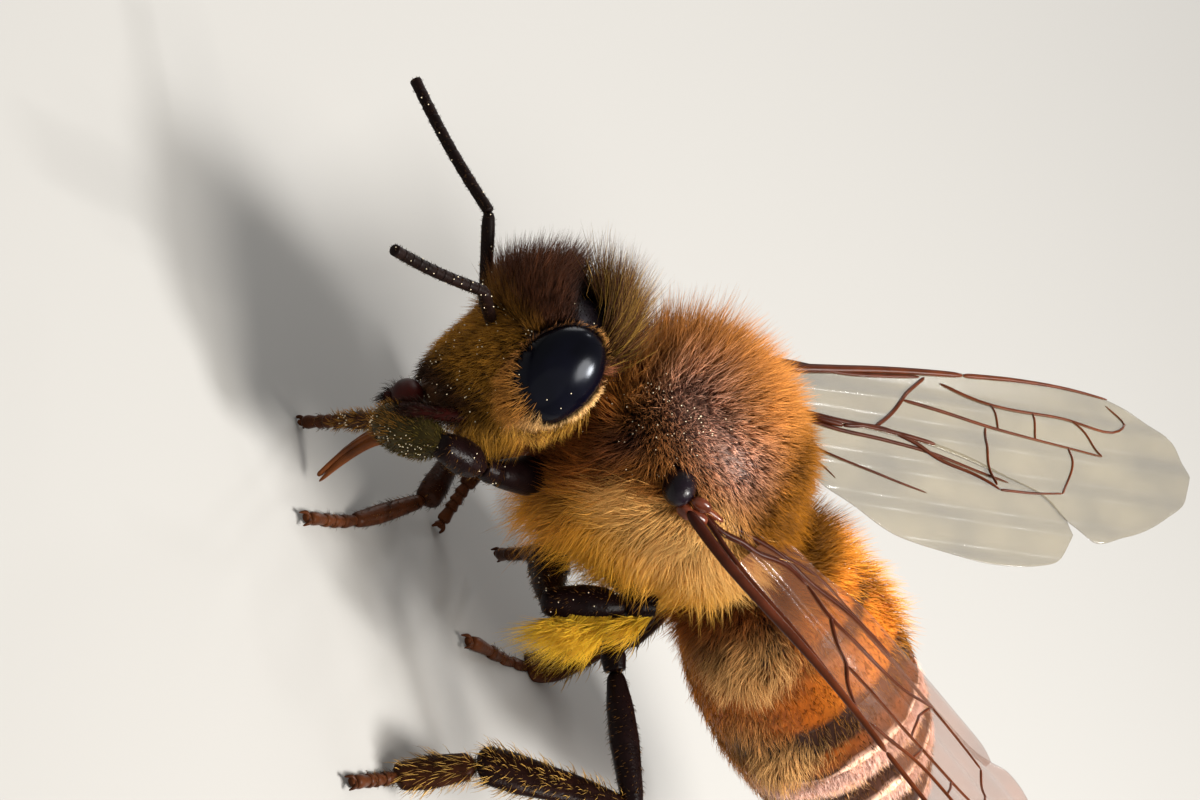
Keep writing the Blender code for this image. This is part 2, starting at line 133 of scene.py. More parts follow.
def spline(knots, values, at):
    """Cubic curve through values at the knots, its slope at each being that of its neighbours."""
    knots, values, at = np.asarray(knots, float), np.asarray(values, float), np.asarray(at, float)
    slopes = np.gradient(values, knots, axis=0)
    i = np.clip(np.searchsorted(knots, at, side="right") - 1, 0, len(knots) - 2)
    span = knots[i + 1] - knots[i]
    u = (at - knots[i]) / span
    u, span = u[..., None], span[..., None]
    return (
        (2 * u**3 - 3 * u**2 + 1) * values[i]
        + (u**3 - 2 * u**2 + u) * span * slopes[i]
        + (3 * u**2 - 2 * u**3) * values[i + 1]
        + (u**3 - u**2) * span * slopes[i + 1]
    )


def barrel(stations, rows, cols, power):
    """Along, side and height of a closed barrel: superellipse rings through the stations.

    stations hold (along, half width, top, bottom) at equal steps. Rings start at the bottom.
    """
    s = (np.arange(rows) + 0.5) / rows
    angle = 2 * math.pi * (np.arange(cols) / cols - 0.25)
    along, wide, top, low = spline(np.linspace(0, 1, len(stations)), stations, s).T[:, :, None]
    c, h = np.cos(angle), np.sin(angle)
    side = np.maximum(wide, 0) * np.sign(c) * np.abs(c) ** (2 / power)
    height = (top + low) / 2 + (top - low) / 2 * np.sign(h) * np.abs(h) ** (2 / power)
    return along + 0 * side, side, height


def hump(d2):
    """Bell curve of a squared distance."""
    return np.exp(-d2)


def trunk_skin(rows, cols):
    """Trunk barrel, raised into the scutellum at the top rear and grooved along its seams."""
    x, y, z = barrel(np.array([
        (-2.05, 0.0, -0.35, -0.35), (-1.98, 0.5, 0.15, -0.85), (-1.75, 0.95, 0.65, -1.3),
        (-1.3, 1.35, 1.25, -1.65), (-0.6, 1.58, 1.68, -1.85), (0.2, 1.64, 1.85, -1.9),
        (0.9, 1.5, 1.72, -1.75), (1.5, 1.15, 1.25, -1.4), (1.9, 0.65, 0.6, -0.95),
        (2.03, 0.3, 0.1, -0.55), (2.05, 0.0, -0.2, -0.2),
    ]), rows, cols, 2.15)
    scutellum = hump(((x + 1.15) / 0.32) ** 2 + (y / 0.75) ** 2) * (z > 0)
    groove = hump(((x + 0.78) / 0.06) ** 2) * (z > 0.4) + 0.6 * hump((y / 0.05) ** 2) * (z > 0.5)
    return np.stack([x, y, z + 0.2 * scutellum - 0.05 * groove], axis=-1)


def mixed(a, b, share):
    """Colour part of the way from a to b."""
    share = np.clip(share, 0, 1)[..., None]
    return np.asarray(a) * (1 - share) + np.asarray(b) * share


def above(v, level, reach=1.0):
    """0 up to a level, rising evenly to 1 over the reach above it."""
    return np.clip((v - level) / reach, 0, 1)


def below(v, level, reach=1.0):
    """0 down to a level, rising evenly to 1 over the reach below it."""
    return np.clip((level - v) / reach, 0, 1)


# The third colour, the worn strip's pale lilac, is the worn hair's colour and partly a painted
# sheen
BACK_BROWN, BACK_FOX, BACK_WORN_SHEEN = (0.24, 0.092, 0.026), (0.095, 0.034, 0.0016), (0.42, 0.24, 0.27)
FLANK_CREAM, FLANK_GOLD = (1.0, 0.57, 0.26), (1.0, 0.5, 0.07)
CHEST_BROWN, NECK_BROWN = (0.4, 0.17, 0.03), (0.12, 0.038, 0.01)
WORN_STRIP = np.array([(1.15, 0.47, 1.5), (1.0, 0.64, 1.51), (0.85, 0.8, 1.52), (0.63, 0.92, 1.5),
                       (0.41, 1.03, 1.47), (0.18, 1.07, 1.44), (-0.05, 1.11, 1.4)])
SPOT_SIZE = 0.38
# Spots, middle and colour: a dark one beside the neck, and a cream one below the wing painted light
# over the wing's shade
SPOTS = [((1.49, 1.01, 0.63), (0.05, 0.017, 0.014)), ((-0.25, 1.58, 0.42), (1.0, 0.62, 0.32))]


def worn_share(p, reach):
    """1 on the strip of the back where the hair is worn short, falling off over the reach."""
    away = np.linalg.norm(p[:, None] - WORN_STRIP[None], axis=-1).min(axis=1)
    return hump((away / reach) ** 2)


def trunk_tint(p):
    """Brown back, foxy rear, brown neck and cream flanks, parted by wavy lines, and two spots:
    a dark one beside the neck and a cream one below the wing, painted light over the wing's
    shade."""
    x, y, z = p.T
    wave = 0.07 * np.sin(5 * x + 2 * z) + 0.05 * np.sin(11 * x - 7 * z)
    back = mixed(BACK_BROWN, BACK_FOX, (-0.15 - x + wave) / 0.9)
    # Pale lilac on the worn strip: partly the worn hair's own colour, partly a painted sheen
    back = mixed(back, BACK_WORN_SHEEN, 0.8 * worn_share(p, 0.5))
    flank = mixed(FLANK_CREAM, FLANK_GOLD, (-z - 0.1) / 0.9)
    flank = mixed(flank, CHEST_BROWN, above(x + wave, 0.6, 0.5) * below(z, 0.1, 0.4))
    flank = mixed(flank, NECK_BROWN, (x + 0.35 * z - 0.75 + wave) / 0.5)
    line = 0.42 - 0.5 * below(x, -0.8) + wave
    colour = mixed(flank, back, (z - line + 0.15) / 0.3)
    # The cream spot below the wing is painted light against the wing's shade
    for middle, tint in SPOTS:
        colour = mixed(colour, tint, hump(np.sum(((p - middle) / SPOT_SIZE) ** 2, axis=-1)))
    return colour


def fill(made, sockets):
    """Gives a node's sockets their values, or links them to the outputs given instead."""
    for name, value in sockets.items():
        if isinstance(value, bpy.types.NodeSocket):
            made.id_data.links.new(value, made.inputs[name])
        else:
            made.inputs[name].default_value = value


def node(tree, kind, sockets, **settings):
    """A new shader node of a tree, with its settings and what its sockets hold."""
    made = tree.nodes.new("ShaderNode" + kind)
    for name, value in settings.items():
        setattr(made, name, value)
    fill(made, sockets)
    return made


def shader_group(name, inputs, outputs):
    """An empty node group with named sockets, what it is given, and its output node."""
    group = bpy.data.node_groups.new(name, "ShaderNodeTree")
    for label, kind, value in inputs:
        socket = group.interface.new_socket(name=label, in_out="INPUT", socket_type=kind)
        socket.default_value = value
    for label, kind in outputs:
        group.interface.new_socket(name=label, in_out="OUTPUT", socket_type=kind)
    given = group.nodes.new("NodeGroupInput").outputs
    return group, given, group.nodes.new("NodeGroupOutput")


def horn_group():
    """Horny shell: colour mottled lighter and darker, duller in patches, and finely pitted."""
    group, given, out = shader_group(
        "horn",
        [("Colour", "NodeSocketColor", (0.02, 0.01, 0.006, 1)),
         ("Mottle", "NodeSocketFloat", 0.4), ("Patch size", "NodeSocketFloat", 3000.0),
         ("Pit size", "NodeSocketFloat", 22000.0), ("Depth", "NodeSocketFloat", 0.4),
         ("Gloss", "NodeSocketFloat", 0.3)],
        [("Colour", "NodeSocketColor"), ("Roughness", "NodeSocketFloat"),
         ("Normal", "NodeSocketVector")],
    )
    place = node(group, "TexCoord", {}).outputs["Object"]
    patches = node(group, "TexNoise", {
        "Vector": place, "Scale": given["Patch size"], "Detail": 4.0}).outputs["Fac"]
    pits = node(group, "TexNoise", {
        "Vector": place, "Scale": given["Pit size"], "Detail": 3.0}).outputs["Fac"]
    spread = node(group, "MapRange", {
        "Value": patches, "From Min": 0.3, "From Max": 0.7, "To Min": -1.0})
    shade = node(group, "Math", {
        0: spread.outputs["Result"], 1: given["Mottle"], 2: 1.0}, operation="MULTIPLY_ADD")
    scaled = node(group, "VectorMath", {
        0: given["Colour"], "Scale": shade.outputs[0]}, operation="SCALE")
    rough = node(group, "Math", {
        0: patches, 1: 0.15, 2: given["Gloss"]}, operation="MULTIPLY_ADD")
    bump = node(group, "Bump", {
        "Distance": 0.00001, "Strength": given["Depth"], "Height": pits})
    fill(out, {"Colour": scaled.outputs[0], "Roughness": rough.outputs[0],
               "Normal": bump.outputs["Normal"]})
    return group


HORN = horn_group()


def shader_of(material):
    """The Principled shader of a material."""
    return material.node_tree.nodes["Principled BSDF"]


def tint_of(material):
    """The output that brings each point's tint into a material."""
    return node(material.node_tree, "VertexColor", {}, layer_name="tint").outputs["Color"]


def finish(name, colour, roughness, coat=0.0, specular=0.12):
    """A Principled material of one colour."""
    material = bpy.data.materials.new(name)
    material.use_nodes = True
    fill(shader_of(material), {
        "Base Color": (*colour, 1), "Roughness": roughness, "Specular IOR Level": specular,
        "Coat Weight": coat, "Coat Roughness": 0.08})
    return material


def horn(name, colour=None, gloss=0.3, mottle=0.4, depth=0.4, coat=0.0, sizes=(3000, 22000),
         specular=0.12):
    """Horny shell of one colour, or of the piece's tint, with its gloss and pits.

    sizes are how many patches and how many pits there are to a metre.
    """
    material = finish(name, colour or (0.1, 0.05, 0.02), gloss, coat, specular)
    patch_size, pit_size = sizes
    grain = node(material.node_tree, "Group", {
        "Colour": (*colour, 1) if colour else tint_of(material), "Mottle": mottle,
        "Patch size": patch_size, "Pit size": pit_size, "Depth": depth, "Gloss": gloss,
    }, node_tree=HORN)
    fill(shader_of(material), {
        "Base Color": grain.outputs["Colour"], "Roughness": grain.outputs["Roughness"],
        "Normal": grain.outputs["Normal"]})
    return material


def trunk_skin_tint(p):
    """The coat's colour, much darker, and plum brown where the back is worn bare, lighter there
    partly as painted sheen.
    """
    return mixed(trunk_tint(p) * 0.2, (0.16, 0.085, 0.06), worn_share(p, 0.35))


trunk_shell = horn("trunk_shell", gloss=0.3, mottle=0.5, depth=0.5)
trunk = trunk_skin(150, 180)
shells("trunk", [trunk], trunk_shell, ("thorax",), trunk_skin_tint)

# ---- Trunk coat ------------------------------------------------------------------------------
# Branched hairs, half a millimetre to a millimetre and a half long, rooted all over the trunk.
# They are brown over the back, foxy at the rear, and cream and matted into locks on the flanks,
# where they spread out from below the wings.


def hair_finish(name, roughness=0.5):
    """Hair that takes its colour from each tuft's tint."""
    material = finish(name, (0.3, 0.15, 0.05), roughness, specular=0.08)
    fill(shader_of(material), {"Base Color": tint_of(material)})
    return material


def unit(v):
    """Vectors scaled to length one."""
    return v / np.maximum(np.linalg.norm(v, axis=-1, keepdims=True), 1e-9)


def roots(grids, thickness, count, rng):
    """Places on skins drawn evenly by area times thickness: point, outward normal, map place.

    A cell of a grid is drawn, then a place in it between its four corners. On the map the
    skins stand side by side, each unrolled.
    """
    corners, normals, places = [], [], []
    for k, grid in enumerate(grids):
        after = np.roll(grid, -1, axis=1)
        square = np.stack([grid[:-1], after[:-1], grid[1:], after[1:]], axis=2)
        normal = np.cross(square[:, :, 3] - square[:, :, 0], square[:, :, 2] - square[:, :, 1])
        out = square[:, :, 0] - grid[:-1].mean(axis=1, keepdims=True)
        normal *= np.sign(np.einsum("ijk,ijk->ij", normal, out))[..., None]
        rows, cols = normal.shape[:2]
        s, t = np.meshgrid(np.arange(rows) / rows, np.arange(cols) / cols, indexing="ij")
        corners.append(square.reshape(-1, 4, 3))
        normals.append(normal.reshape(-1, 3))
        places.append(np.stack([(k + t.ravel()) / len(grids), s.ravel()], axis=-1))
    corners, normals, places = (np.concatenate(v) for v in (corners, normals, places))
    chance = np.linalg.norm(normals, axis=-1) * np.clip(thickness(corners[:, 0]), 0, None)
    pick = rng.choice(len(chance), size=count, p=chance / chance.sum())
    u, v = rng.random((2, count, 1))
    c = corners[pick]
    point = (c[:, 0] * (1 - u) + c[:, 1] * u) * (1 - v) + (c[:, 2] * (1 - u) + c[:, 3] * u) * v
    return point, unit(normals[pick]), places[pick]


PATCH_ACROSS = 0.0028
LIGHTEST_HAIR = 0.88


def tufts(name, root, first, last, length, width, tint, place, material, slot, stages, painted_shading):
    """Hair mesh: each hair is a three-sided tapering spine along a curve, closed at both ends.

    The curve leaves the root along first and ends along last. Stages are the shares of the
    length that have a ring. Width falls off evenly to a fifth before the point.
    painted_shading is the lightness of the tint at the root and at the tip: painted shade at
    the root, where the coat shades itself, and painted light towards the tip. Each hair's map
    place is a patch 0.003 across at its root.
    """
    count, stages = len(root), np.asarray(stages)
    share = np.append(stages, 1.0)[None, :, None]
    first, last = first[:, None], last[:, None]
    line = root[:, None] + length[:, None, None] * (
        first * (share - share**2 / 2) + last * share**2 / 2
    )
    side = unit(np.cross(first, last + 0.3 * np.roll(first, 1, axis=-1)))
    over = unit(np.cross(side, first))
    turn = (2 * math.pi * np.arange(3) / 3)[None, :, None]
    ring = side * np.cos(turn) + over * np.sin(turn)
    thick = (1 - 0.8 * stages)[None, :, None, None] * width[:, None, None, None] / 2
    body = line[:, :-1, None] + ring[:, None] * thick
    points = np.concatenate([body.reshape(count, -1, 3), line[:, -1:]], axis=1)
    rings, k = len(stages), np.arange(3)
    low = np.concatenate([3 * r + k for r in range(rings - 1)])
    high = np.concatenate([3 * r + (k + 1) % 3 for r in range(rings - 1)])
    quads = np.stack([low, high, high + 3, low + 3], axis=-1)
    top = 3 * (rings - 1)
    tip = np.stack([top + k, top + (k + 1) % 3, np.full(3, top + 3)], axis=-1)
    tris = np.concatenate([tip, [[0, 2, 1]]])
    offset = (np.arange(count) * (3 * rings + 1))[:, None, None]
    faces = [(quads[None] + offset).reshape(-1, 4), (tris[None] + offset).reshape(-1, 3)]
    along = np.append(np.repeat(stages, 3), 1.0)
    across = np.append(np.tile([-0.5, 0.0, 0.5], rings), 0.0)
    # Painted shading along each hair: darker at the root as painted shade, lighter at the tip as
    # painted light
    light = (painted_shading[0] + (painted_shading[1] - painted_shading[0]) * along)[None, :, None]
    colour = tint[:, None] * light
    colour = colour * np.minimum(1, LIGHTEST_HAIR / colour.max(axis=-1, keepdims=True))
    spot = PATCH_ACROSS * np.stack([along - 0.5, across], axis=-1)[None]
    patch = np.clip(place, 0.003, 0.997)[:, None] + spot
    piece(name, points.reshape(-1, 3), faces, material, (),
          colour.reshape(-1, 3), patch.reshape(-1, 2))


def combed(normal, flow, stand, scatter, rng):
    """Directions between a flow along the skin (stand 0) and its normal (stand 1)."""
    along = unit(flow - normal * np.einsum("ij,ij->i", flow, normal)[:, None])
    stand = np.clip(stand, 0, 1)[:, None]
    return unit(normal * stand + along * (1 - stand) + rng.normal(0, scatter, normal.shape))


FLOOR_GAP = 0.03
HAIR_CAST = np.array([1.0, 0.98, 0.66])


def grow(name, grids, count, thickness, style, material, slot, seed, clump=0.45, cell=0.3,
         curl=0.15, scatter=0.2, fleck=0.2, stages=(0.0, 0.5), painted_shading=(0.5, 1.5)):
    """A coat piece: roots drawn on skins, combed by a style, tips drawn together into locks.

    style(point, normal, rng) gives flow, stand, length, width and tint. The hairs of a cell
    of space lean towards the tip of the first one in it, by the clump, and share its fleck of
    light or dark. Hairs that would reach the floor are left out.
    """
    rng = np.random.default_rng(seed)
    p, n, place = roots(grids, thickness, count, rng)
    flow, stand, length, width, tint = style(p, n, rng)
    first = combed(n, flow, stand + curl, scatter, rng)
    last = combed(n, flow, stand - curl, scatter * 1.2, rng)
    keys = np.floor((p + rng.normal(0, cell * 0.2, p.shape)) / cell).astype(int)
    _, leader, group = np.unique(keys, axis=0, return_index=True, return_inverse=True)
    guide = leader[group.reshape(-1)]
    aim = unit(p[guide] + last[guide] * length[guide, None] * 1.1 - p)
    last = unit(last * (1 - clump) + aim * clump)
    shade = rng.normal(0, 0.18, (count, 1)) + rng.normal(0, fleck, (count, 1))[guide]
    tint = tint * HAIR_CAST * np.exp(shade)
    tip = p + (first + last) / 2 * length[:, None]
    clear = np.minimum(to_floor(tip)[:, 2], to_floor(p + first * length[:, None] / 2)[:, 2])
    keep = clear > FLOOR_GAP * MM
    fields = (v[keep] for v in (p, first, last, length, width, tint, place))
    tufts(name, *fields, material, slot, stages, painted_shading)


# Flank hair spreads out from the wing's hinge, and an oval round it is bare: its middle and size
WING_HINGE = np.array([0.44, 1.65, 0.75])
HINGE_BARE, HINGE_BARE_SIZE = (0.45, 1.65, 0.75), (0.28, 1.0, 0.2)


def trunk_thickness(p):
    """Hair everywhere but on the worn strip of the back, round the hinges and at the necks."""
    worn = worn_share(p, 0.3)
    ends = hump(((p[:, 0] - 2.1) / 0.25) ** 2) + hump(((p[:, 0] + 2.1) / 0.2) ** 2)
    away = (np.where(p[:, 1:2] < 0, p * (1, -1, 1), p) - HINGE_BARE) / HINGE_BARE_SIZE
    return 1 - 0.55 * worn - 0.8 * ends - 0.95 * hump(np.sum(away**2, axis=-1))


def trunk_style(p, n, rng):
    """Flank locks spread out and down from below the wings in waves; the back is a pile that
    stands up and leans to the rear, longest at the neck and the waist."""
    x, y, z = p.T
    zero = 0 * x
    high = above(z, 0.3, 0.5)
    hinge = np.where(y[:, None] < 0, WING_HINGE * (1, -1, 1), WING_HINGE)
    bend = np.stack([np.sin(3.1 * z + 2 * x), zero, np.sin(3.7 * x)], axis=-1)
    flank = unit(p - hinge) + (0.15, 0, -0.35) + 0.75 * bend
    top = np.stack([zero - 0.5, 0.25 * y, zero], axis=-1) + 0.2 * bend
    flow = flank * (1 - high[:, None]) + top * high[:, None]
    length = (0.92 - 0.3 * high) * rng.uniform(0.5, 1.1, len(p))
    length = length * np.where(x > 1.5, 0.75, 1.0) + 0.12 * below(x, -0.8)
    stray = rng.random(len(p)) < 0.3
    length = length * (1 - 0.65 * worn_share(p, 0.6)) + 0.2 * (1 - high) * stray
    length = length * (1 + 0.45 * high * below(y, 0.6, 0.6))
    length = length * (1 - 0.4 * high * below(x, -0.3, 0.6))
    tall = above(x, 0, 0.8) * below(y, 1.0, 0.4) * (rng.random(len(p)) < 0.25)
    length = length + 0.4 * high * tall + 0.6 * (1 - high) * below(z, -0.8)
    length = length + 0.4 * above(x, 0.6, 0.6) * below(z, -0.2)
    width = rng.uniform(0.014, 0.023, len(p)) * (1 - 0.2 * high)
    return flow, 0.36 + 0.38 * high, length, width, trunk_tint(p)


BACK_EDGE = 0.62
# The last of each look is painted shading: painted shade at the hair roots and painted light at the
# tips
BACK_LOOK = {"clump": 0.28, "cell": 0.18, "fleck": 0.2, "painted_shading": (0.35, 2.0)}
FLANK_LOOK = {"clump": 0.88, "cell": 0.38, "fleck": 0.32, "painted_shading": (0.48, 2.8)}
trunk_hair = hair_finish("trunk_hair")
for part, seed, count, look in (("coat_back", 11, 19500, BACK_LOOK),
                                ("coat_left_flank", 12, 15500, FLANK_LOOK),
                                ("coat_right_flank", 13, 13000, FLANK_LOOK)):
    def thickness(p, part=part):
        """The trunk's own, within this piece's share of it."""
        back, left = p[:, 2] > BACK_EDGE, p[:, 1] >= 0
        shares = {"coat_back": back, "coat_left_flank": ~back & left,
                  "coat_right_flank": ~back & ~left}
        return trunk_thickness(p) * shares[part]
    grow(part, [trunk], count, thickness, trunk_style, trunk_hair, "golden_fur", seed, **look)

# ---- Head ------------------------------------------------------------------------------------
# A horny capsule, triangular seen from in front, with the face plate bulging above the jaws
# and a shallow hollow round each feeler's socket. It is turned a little and leans to its left.

HEAD_PLACE = np.array([3.3, 0.0, -0.3])
SOCKET_OUT, SOCKET_UP = 0.24, 0.15


def turned(axis, degrees):
    """Rotation about one axis of the bee frame."""
    return np.array(mathutils.Matrix.Rotation(math.radians(degrees), 3, axis))


HEAD_TURN = turned("Z", -9) @ turned("Y", -6.5) @ turned("X", 36)


def from_head(p):
    """Points of the head's own frame (x out of the face, z to the crown) in the bee frame."""
    return HEAD_PLACE + p @ HEAD_TURN.T


def to_head(p):
    """Points of the bee frame in the head's own."""
    return (p - HEAD_PLACE) @ HEAD_TURN


def head_skin(rows, cols):
    """Head barrel from jaws to crown, raised at the face plate and hollowed at the feelers."""
    z, y, x = barrel(np.array([
        (-1.62, 0, 0.55, 0.55), (-1.58, 0.35, 0.8, 0.3), (-1.35, 0.7, 0.98, 0),
        (-0.9, 1.05, 1.05, -0.45), (-0.3, 1.32, 1.05, -0.7), (0.3, 1.42, 1.0, -0.8),
        (0.8, 1.38, 0.92, -0.82), (1.18, 1.15, 0.7, -0.68), (1.42, 0.82, 0.42, -0.46),
        (1.53, 0.42, 0.15, -0.22), (1.56, 0, -0.03, -0.03),
    ]), rows, cols, 2.2)
    plate = hump((y / 0.55) ** 2 + ((z + 0.85) / 0.45) ** 2) * (x > 0)
    hollow = hump(((np.abs(y) - SOCKET_OUT) / 0.22) ** 2 + ((z - SOCKET_UP) / 0.3) ** 2) * (x > 0)
    return from_head(np.stack([x + 0.1 * plate - 0.08 * hollow, y, z], axis=-1))


def head_skin_tint(p):
    """Black round the simple eyes, black brown elsewhere, redder round the mouth."""
    up = to_head(p)[:, 2]
    return mixed(mixed((0.03, 0.015, 0.01), (0.1, 0.04, 0.015), -up - 0.9), (0.004, 0.002, 0.004),
                 (up - 0.8) / 0.3)


head_shell = horn("head_shell", gloss=0.28)
head = head_skin(140, 160)
shells("head_skin", [head], head_shell, ("head",), head_skin_tint)

# ---- Eyes ------------------------------------------------------------------------------------
# Two compound eyes of some six thousand lenses each, black with a blue gloss, set into the
# sides of the head, and three bead-like simple eyes in a bare black hollow of the crown.

EYE_MIDDLE, EYE_SIZE = np.array([-0.03, 1.4, 0.2]), np.array([0.7, 0.48, 0.96])
SIMPLE_EYES = np.array([(0.12, 0.0, 1.58), (-0.17, 0.62, 1.57), (-0.17, -0.62, 1.57)])
SIMPLE_EYE_SIZE = 0.16


def egg(middle, size, rows, cols, power=2.0):
    """Rings of an egg: its radius at each height is that of a superellipse."""
    lat = math.pi * ((np.arange(rows) + 0.5) / rows - 0.5)[:, None]
    lon = (2 * math.pi * np.arange(cols) / cols)[None]
    wide, tall = np.cos(lat) ** (2 / power), np.sin(lat) + 0 * lon
    return middle + np.stack([wide * np.cos(lon), wide * np.sin(lon), tall], axis=-1) * size


eye_shell = horn("eye_lenses", (0.001, 0.001, 0.003), gloss=0.12, mottle=0.5, depth=0.12, coat=0.12,
                 sizes=(1500, 60000), specular=0.05)
eye_place = node(eye_shell.node_tree, "TexCoord", {}).outputs["Object"]
facets = node(eye_shell.node_tree, "TexVoronoi", {"Vector": eye_place, "Scale": 42000})
facet_bump = node(eye_shell.node_tree, "Bump", {
    "Height": facets.outputs["Distance"], "Strength": 0.12, "Distance": 0.000004}, invert=True)
fill(shader_of(eye_shell), {
    "Normal": facet_bump.outputs["Normal"], "Specular Tint": (0.6, 0.75, 1.0, 1),
    "Coat Roughness": 0.18})
eyes = {}
for side, sign in (("left", 1), ("right", -1)):
    eyes[side] = from_head(egg(EYE_MIDDLE * (1, sign, 1), EYE_SIZE, 70, 90))
    shells("compound_eye_" + side, [eyes[side]], eye_shell, ("eye_" + side,))
both_eyes = [eyes["left"], eyes["right"]]
simple_eyes = [from_head(egg(p, SIMPLE_EYE_SIZE, 16, 20)) for p in SIMPLE_EYES]
shells("simple_eyes", simple_eyes, eye_shell)

# ---- Head coat -------------------------------------------------------------------------------
# A dense upright mound of dark hair ahead of the simple eyes, longer and pale tipped at the
# nape, short and brown down the face, brown behind the eyes and gold on the cheeks below them.

CROWN_DARK, MOUTH_DARK = (0.034, 0.011, 0.006), (0.03, 0.012, 0.006)
FACE_BROWN, TEMPLE_BROWN = (0.26, 0.12, 0.022), (0.27, 0.083, 0.08)
CHEEK_GOLD, NAPE_TAN = (0.24, 0.115, 0.02), (0.045, 0.016, 0.01)
HOLLOW_BLACK = (0.006, 0.003, 0.004)


def face_share(q):
    """How far a point is below the crown's mound, from 0 on the mound to 1 on the face."""
    return below(q[:, 2] + 0.25 * q[:, 0], 0.8, 0.4)


def cheek_share(q):
    """1 on the cheeks, down and back from the eyes."""
    return above(-0.68 * q[:, 0] - 0.76 * q[:, 2], 0.5, 0.25) * above(np.abs(q[:, 1]), 0.3, 0.3)


def temple_share(q):
    """1 behind the eyes."""
    return below(q[:, 0], -0.2, 0.25) * below(q[:, 2], 1.0, 0.4)


def nape_share(q):
    """1 on the top of the back of the head."""
    return below(q[:, 0], -0.55, 0.15) * above(q[:, 2], 1.0, 0.25)


def hollow_share(q):
    """1 in the bare black hollow round the simple eyes, from one eye's rim to the other."""
    out = np.abs(q[:, 1]) - SIMPLE_EYES[1, 1]
    away = np.stack([(q[:, 0] + 0.1) / 0.45, out / np.where(out > 0, 1.1, 0.45),
                     (q[:, 2] - 1.35) / 0.65], axis=-1)
    return np.clip(2.6 * hump(np.sum(away**2, axis=-1)), 0, 1)


def head_tint(q):
    """Dark crown and mouth, tan nape, brown face and temples, gold cheeks."""
    black = hump(np.sum(((q - (-0.05, 0, 1.35)) / (0.7, 3, 0.55)) ** 2, axis=-1))[:, None]
    colour = mixed(CROWN_DARK, FACE_BROWN, face_share(q)) * (1 - 0.6 * black)
    colour = mixed(colour, MOUTH_DARK, (-0.75 - q[:, 2]) / 0.3)
    colour = mixed(colour, TEMPLE_BROWN, temple_share(q))
    colour = mixed(colour, CHEEK_GOLD, cheek_share(q))
    colour = mixed(colour, NAPE_TAN, nape_share(q))
    return mixed(colour, HOLLOW_BLACK, hollow_share(q) * 1.2)


def eye_space(q):
    """Places in units of the nearer eye's radii, from its middle, y out of the head."""
    return (np.stack([q[..., 0], np.abs(q[..., 1]), q[..., 2]], axis=-1) - EYE_MIDDLE) / EYE_SIZE


def eye_clear(q):
    """0 within the eyes' rims, 1 away from them."""
    return above(np.linalg.norm(eye_space(q), axis=-1), 1.0, 0.06)


def head_thickness(p):
    """No hair in the eyes and the crown's hollow, at the feelers' sockets, the neck and jaws."""
    q = to_head(p)
    x, y, z = q.T
    socket = hump(((np.abs(y) - SOCKET_OUT) / 0.14) ** 2 + ((z - SOCKET_UP) / 0.16) ** 2) * (x > 0)
    neck = hump(((x + 0.8) / 0.3) ** 2 + (y / 0.4) ** 2 + (z / 0.5) ** 2)
    jaws = np.minimum(below(z, -1.2, 0.2), 0.95)
    plate = hump((y / 0.5) ** 2 + ((z + 0.95) / 0.45) ** 2) * (x > 0)
    bald = 0.93 * hollow_share(q) + 0.9 * socket + 0.9 * neck + jaws + 0.6 * plate
    return np.clip(1 - bald - 0.45 * nape_share(q), 0.01, 1) * eye_clear(q)


def head_style(p, n, rng):
    """Up from the crown, down the face, down and out on the cheeks, up and back at the nape."""
    q = to_head(p)
    face, cheek, nape = (v[:, None] for v in (face_share(q), cheek_share(q), nape_share(q)))
    y = np.sign(q[:, 1])[:, None]
    lean = 0.55 * above(q[:, :1], -0.45, 0.4)
    up = np.concatenate([lean, 0 * lean, 0.95 + 0 * lean], axis=1)
    flow = (1 - face) * up + face * (0.25, 0, -1)
    down = np.concatenate([-0.68 + 0 * y, 0.25 * y, -0.76 + 0 * y], axis=1)
    flow = flow * (1 - cheek) + cheek * down
    flow = (flow * (1 - nape) + nape * (-0.3, 0, 1)) @ HEAD_TURN.T
    face, cheek, nape = face[:, 0], cheek[:, 0], nape[:, 0]
    stand = 0.72 - 0.26 * face
    stand = stand * (1 - cheek) + 0.42 * cheek
    edge = above(np.abs(q[:, 1]), 0.3, 0.7)
    length = 1.08 - 0.12 * np.clip(q[:, 0], 0, 0.8) - 0.6 * edge
    length = length * (1 - face) + 0.28 * face
    length = length * (1 - cheek) + 0.85 * cheek + 0.05 * nape
    length = length * rng.uniform(0.45, 1.15, len(p)) * (1 - 0.92 * hollow_share(q))
    width = rng.uniform(0.012, 0.02, len(p))
    return flow, stand, length, width, head_tint(q)


head_hair = hair_finish("head_hair")
# Each coat's last value is its painted shading: painted shade at the roots, painted light at the
# tips
for part, seed, count, lower, painted_shading in (("coat_crown", 21, 13000, False, (0.25, 2.3)),
                                       ("coat_face", 22, 16000, True, (0.35, 1.8))):
    def thickness(p, lower=lower):
        """The head's own, on this side of the mound's foot."""
        return head_thickness(p) * ((face_share(to_head(p)) > 0.5) == lower)
    grow(part, [head], count, thickness, head_style, head_hair, "dark_fur", seed, clump=0.32,
         cell=0.16, painted_shading=painted_shading)


def round_eye(e):
    """The direction of places in an eye's space from the middle of the eye, seen from beside."""
    return unit(e[:, [0, 2]] + 1e-6)


def rim_sides(p):
    """At an eye: its own place there, and how far towards the jaws, the rear and the crown."""
    e = eye_space(to_head(p))
    jaws, rear, crown = (np.clip(round_eye(e) @ side, 0, 1)
                         for side in ((0.35, -0.94), (-0.87, -0.5), (-0.1, 1)))
    return e, jaws, above(rear, 0.45, 0.3) * (1 - 0.5 * jaws), crown**6


def rim_thickness(p):
    """On the eyes, thick at the rim, reaching furthest in from the jaws' side."""
    e, jaws, rear, crown = rim_sides(p)
    reach = 0.04 * above(e[:, 0], 0, 0.5) + 0.85 * jaws**2 + 0.45 * rear + 0.2 * crown
    return above(reach - e[:, 1], 0, 0.4) * (e[:, 1] > -0.1) * (0.6 + rear + crown)


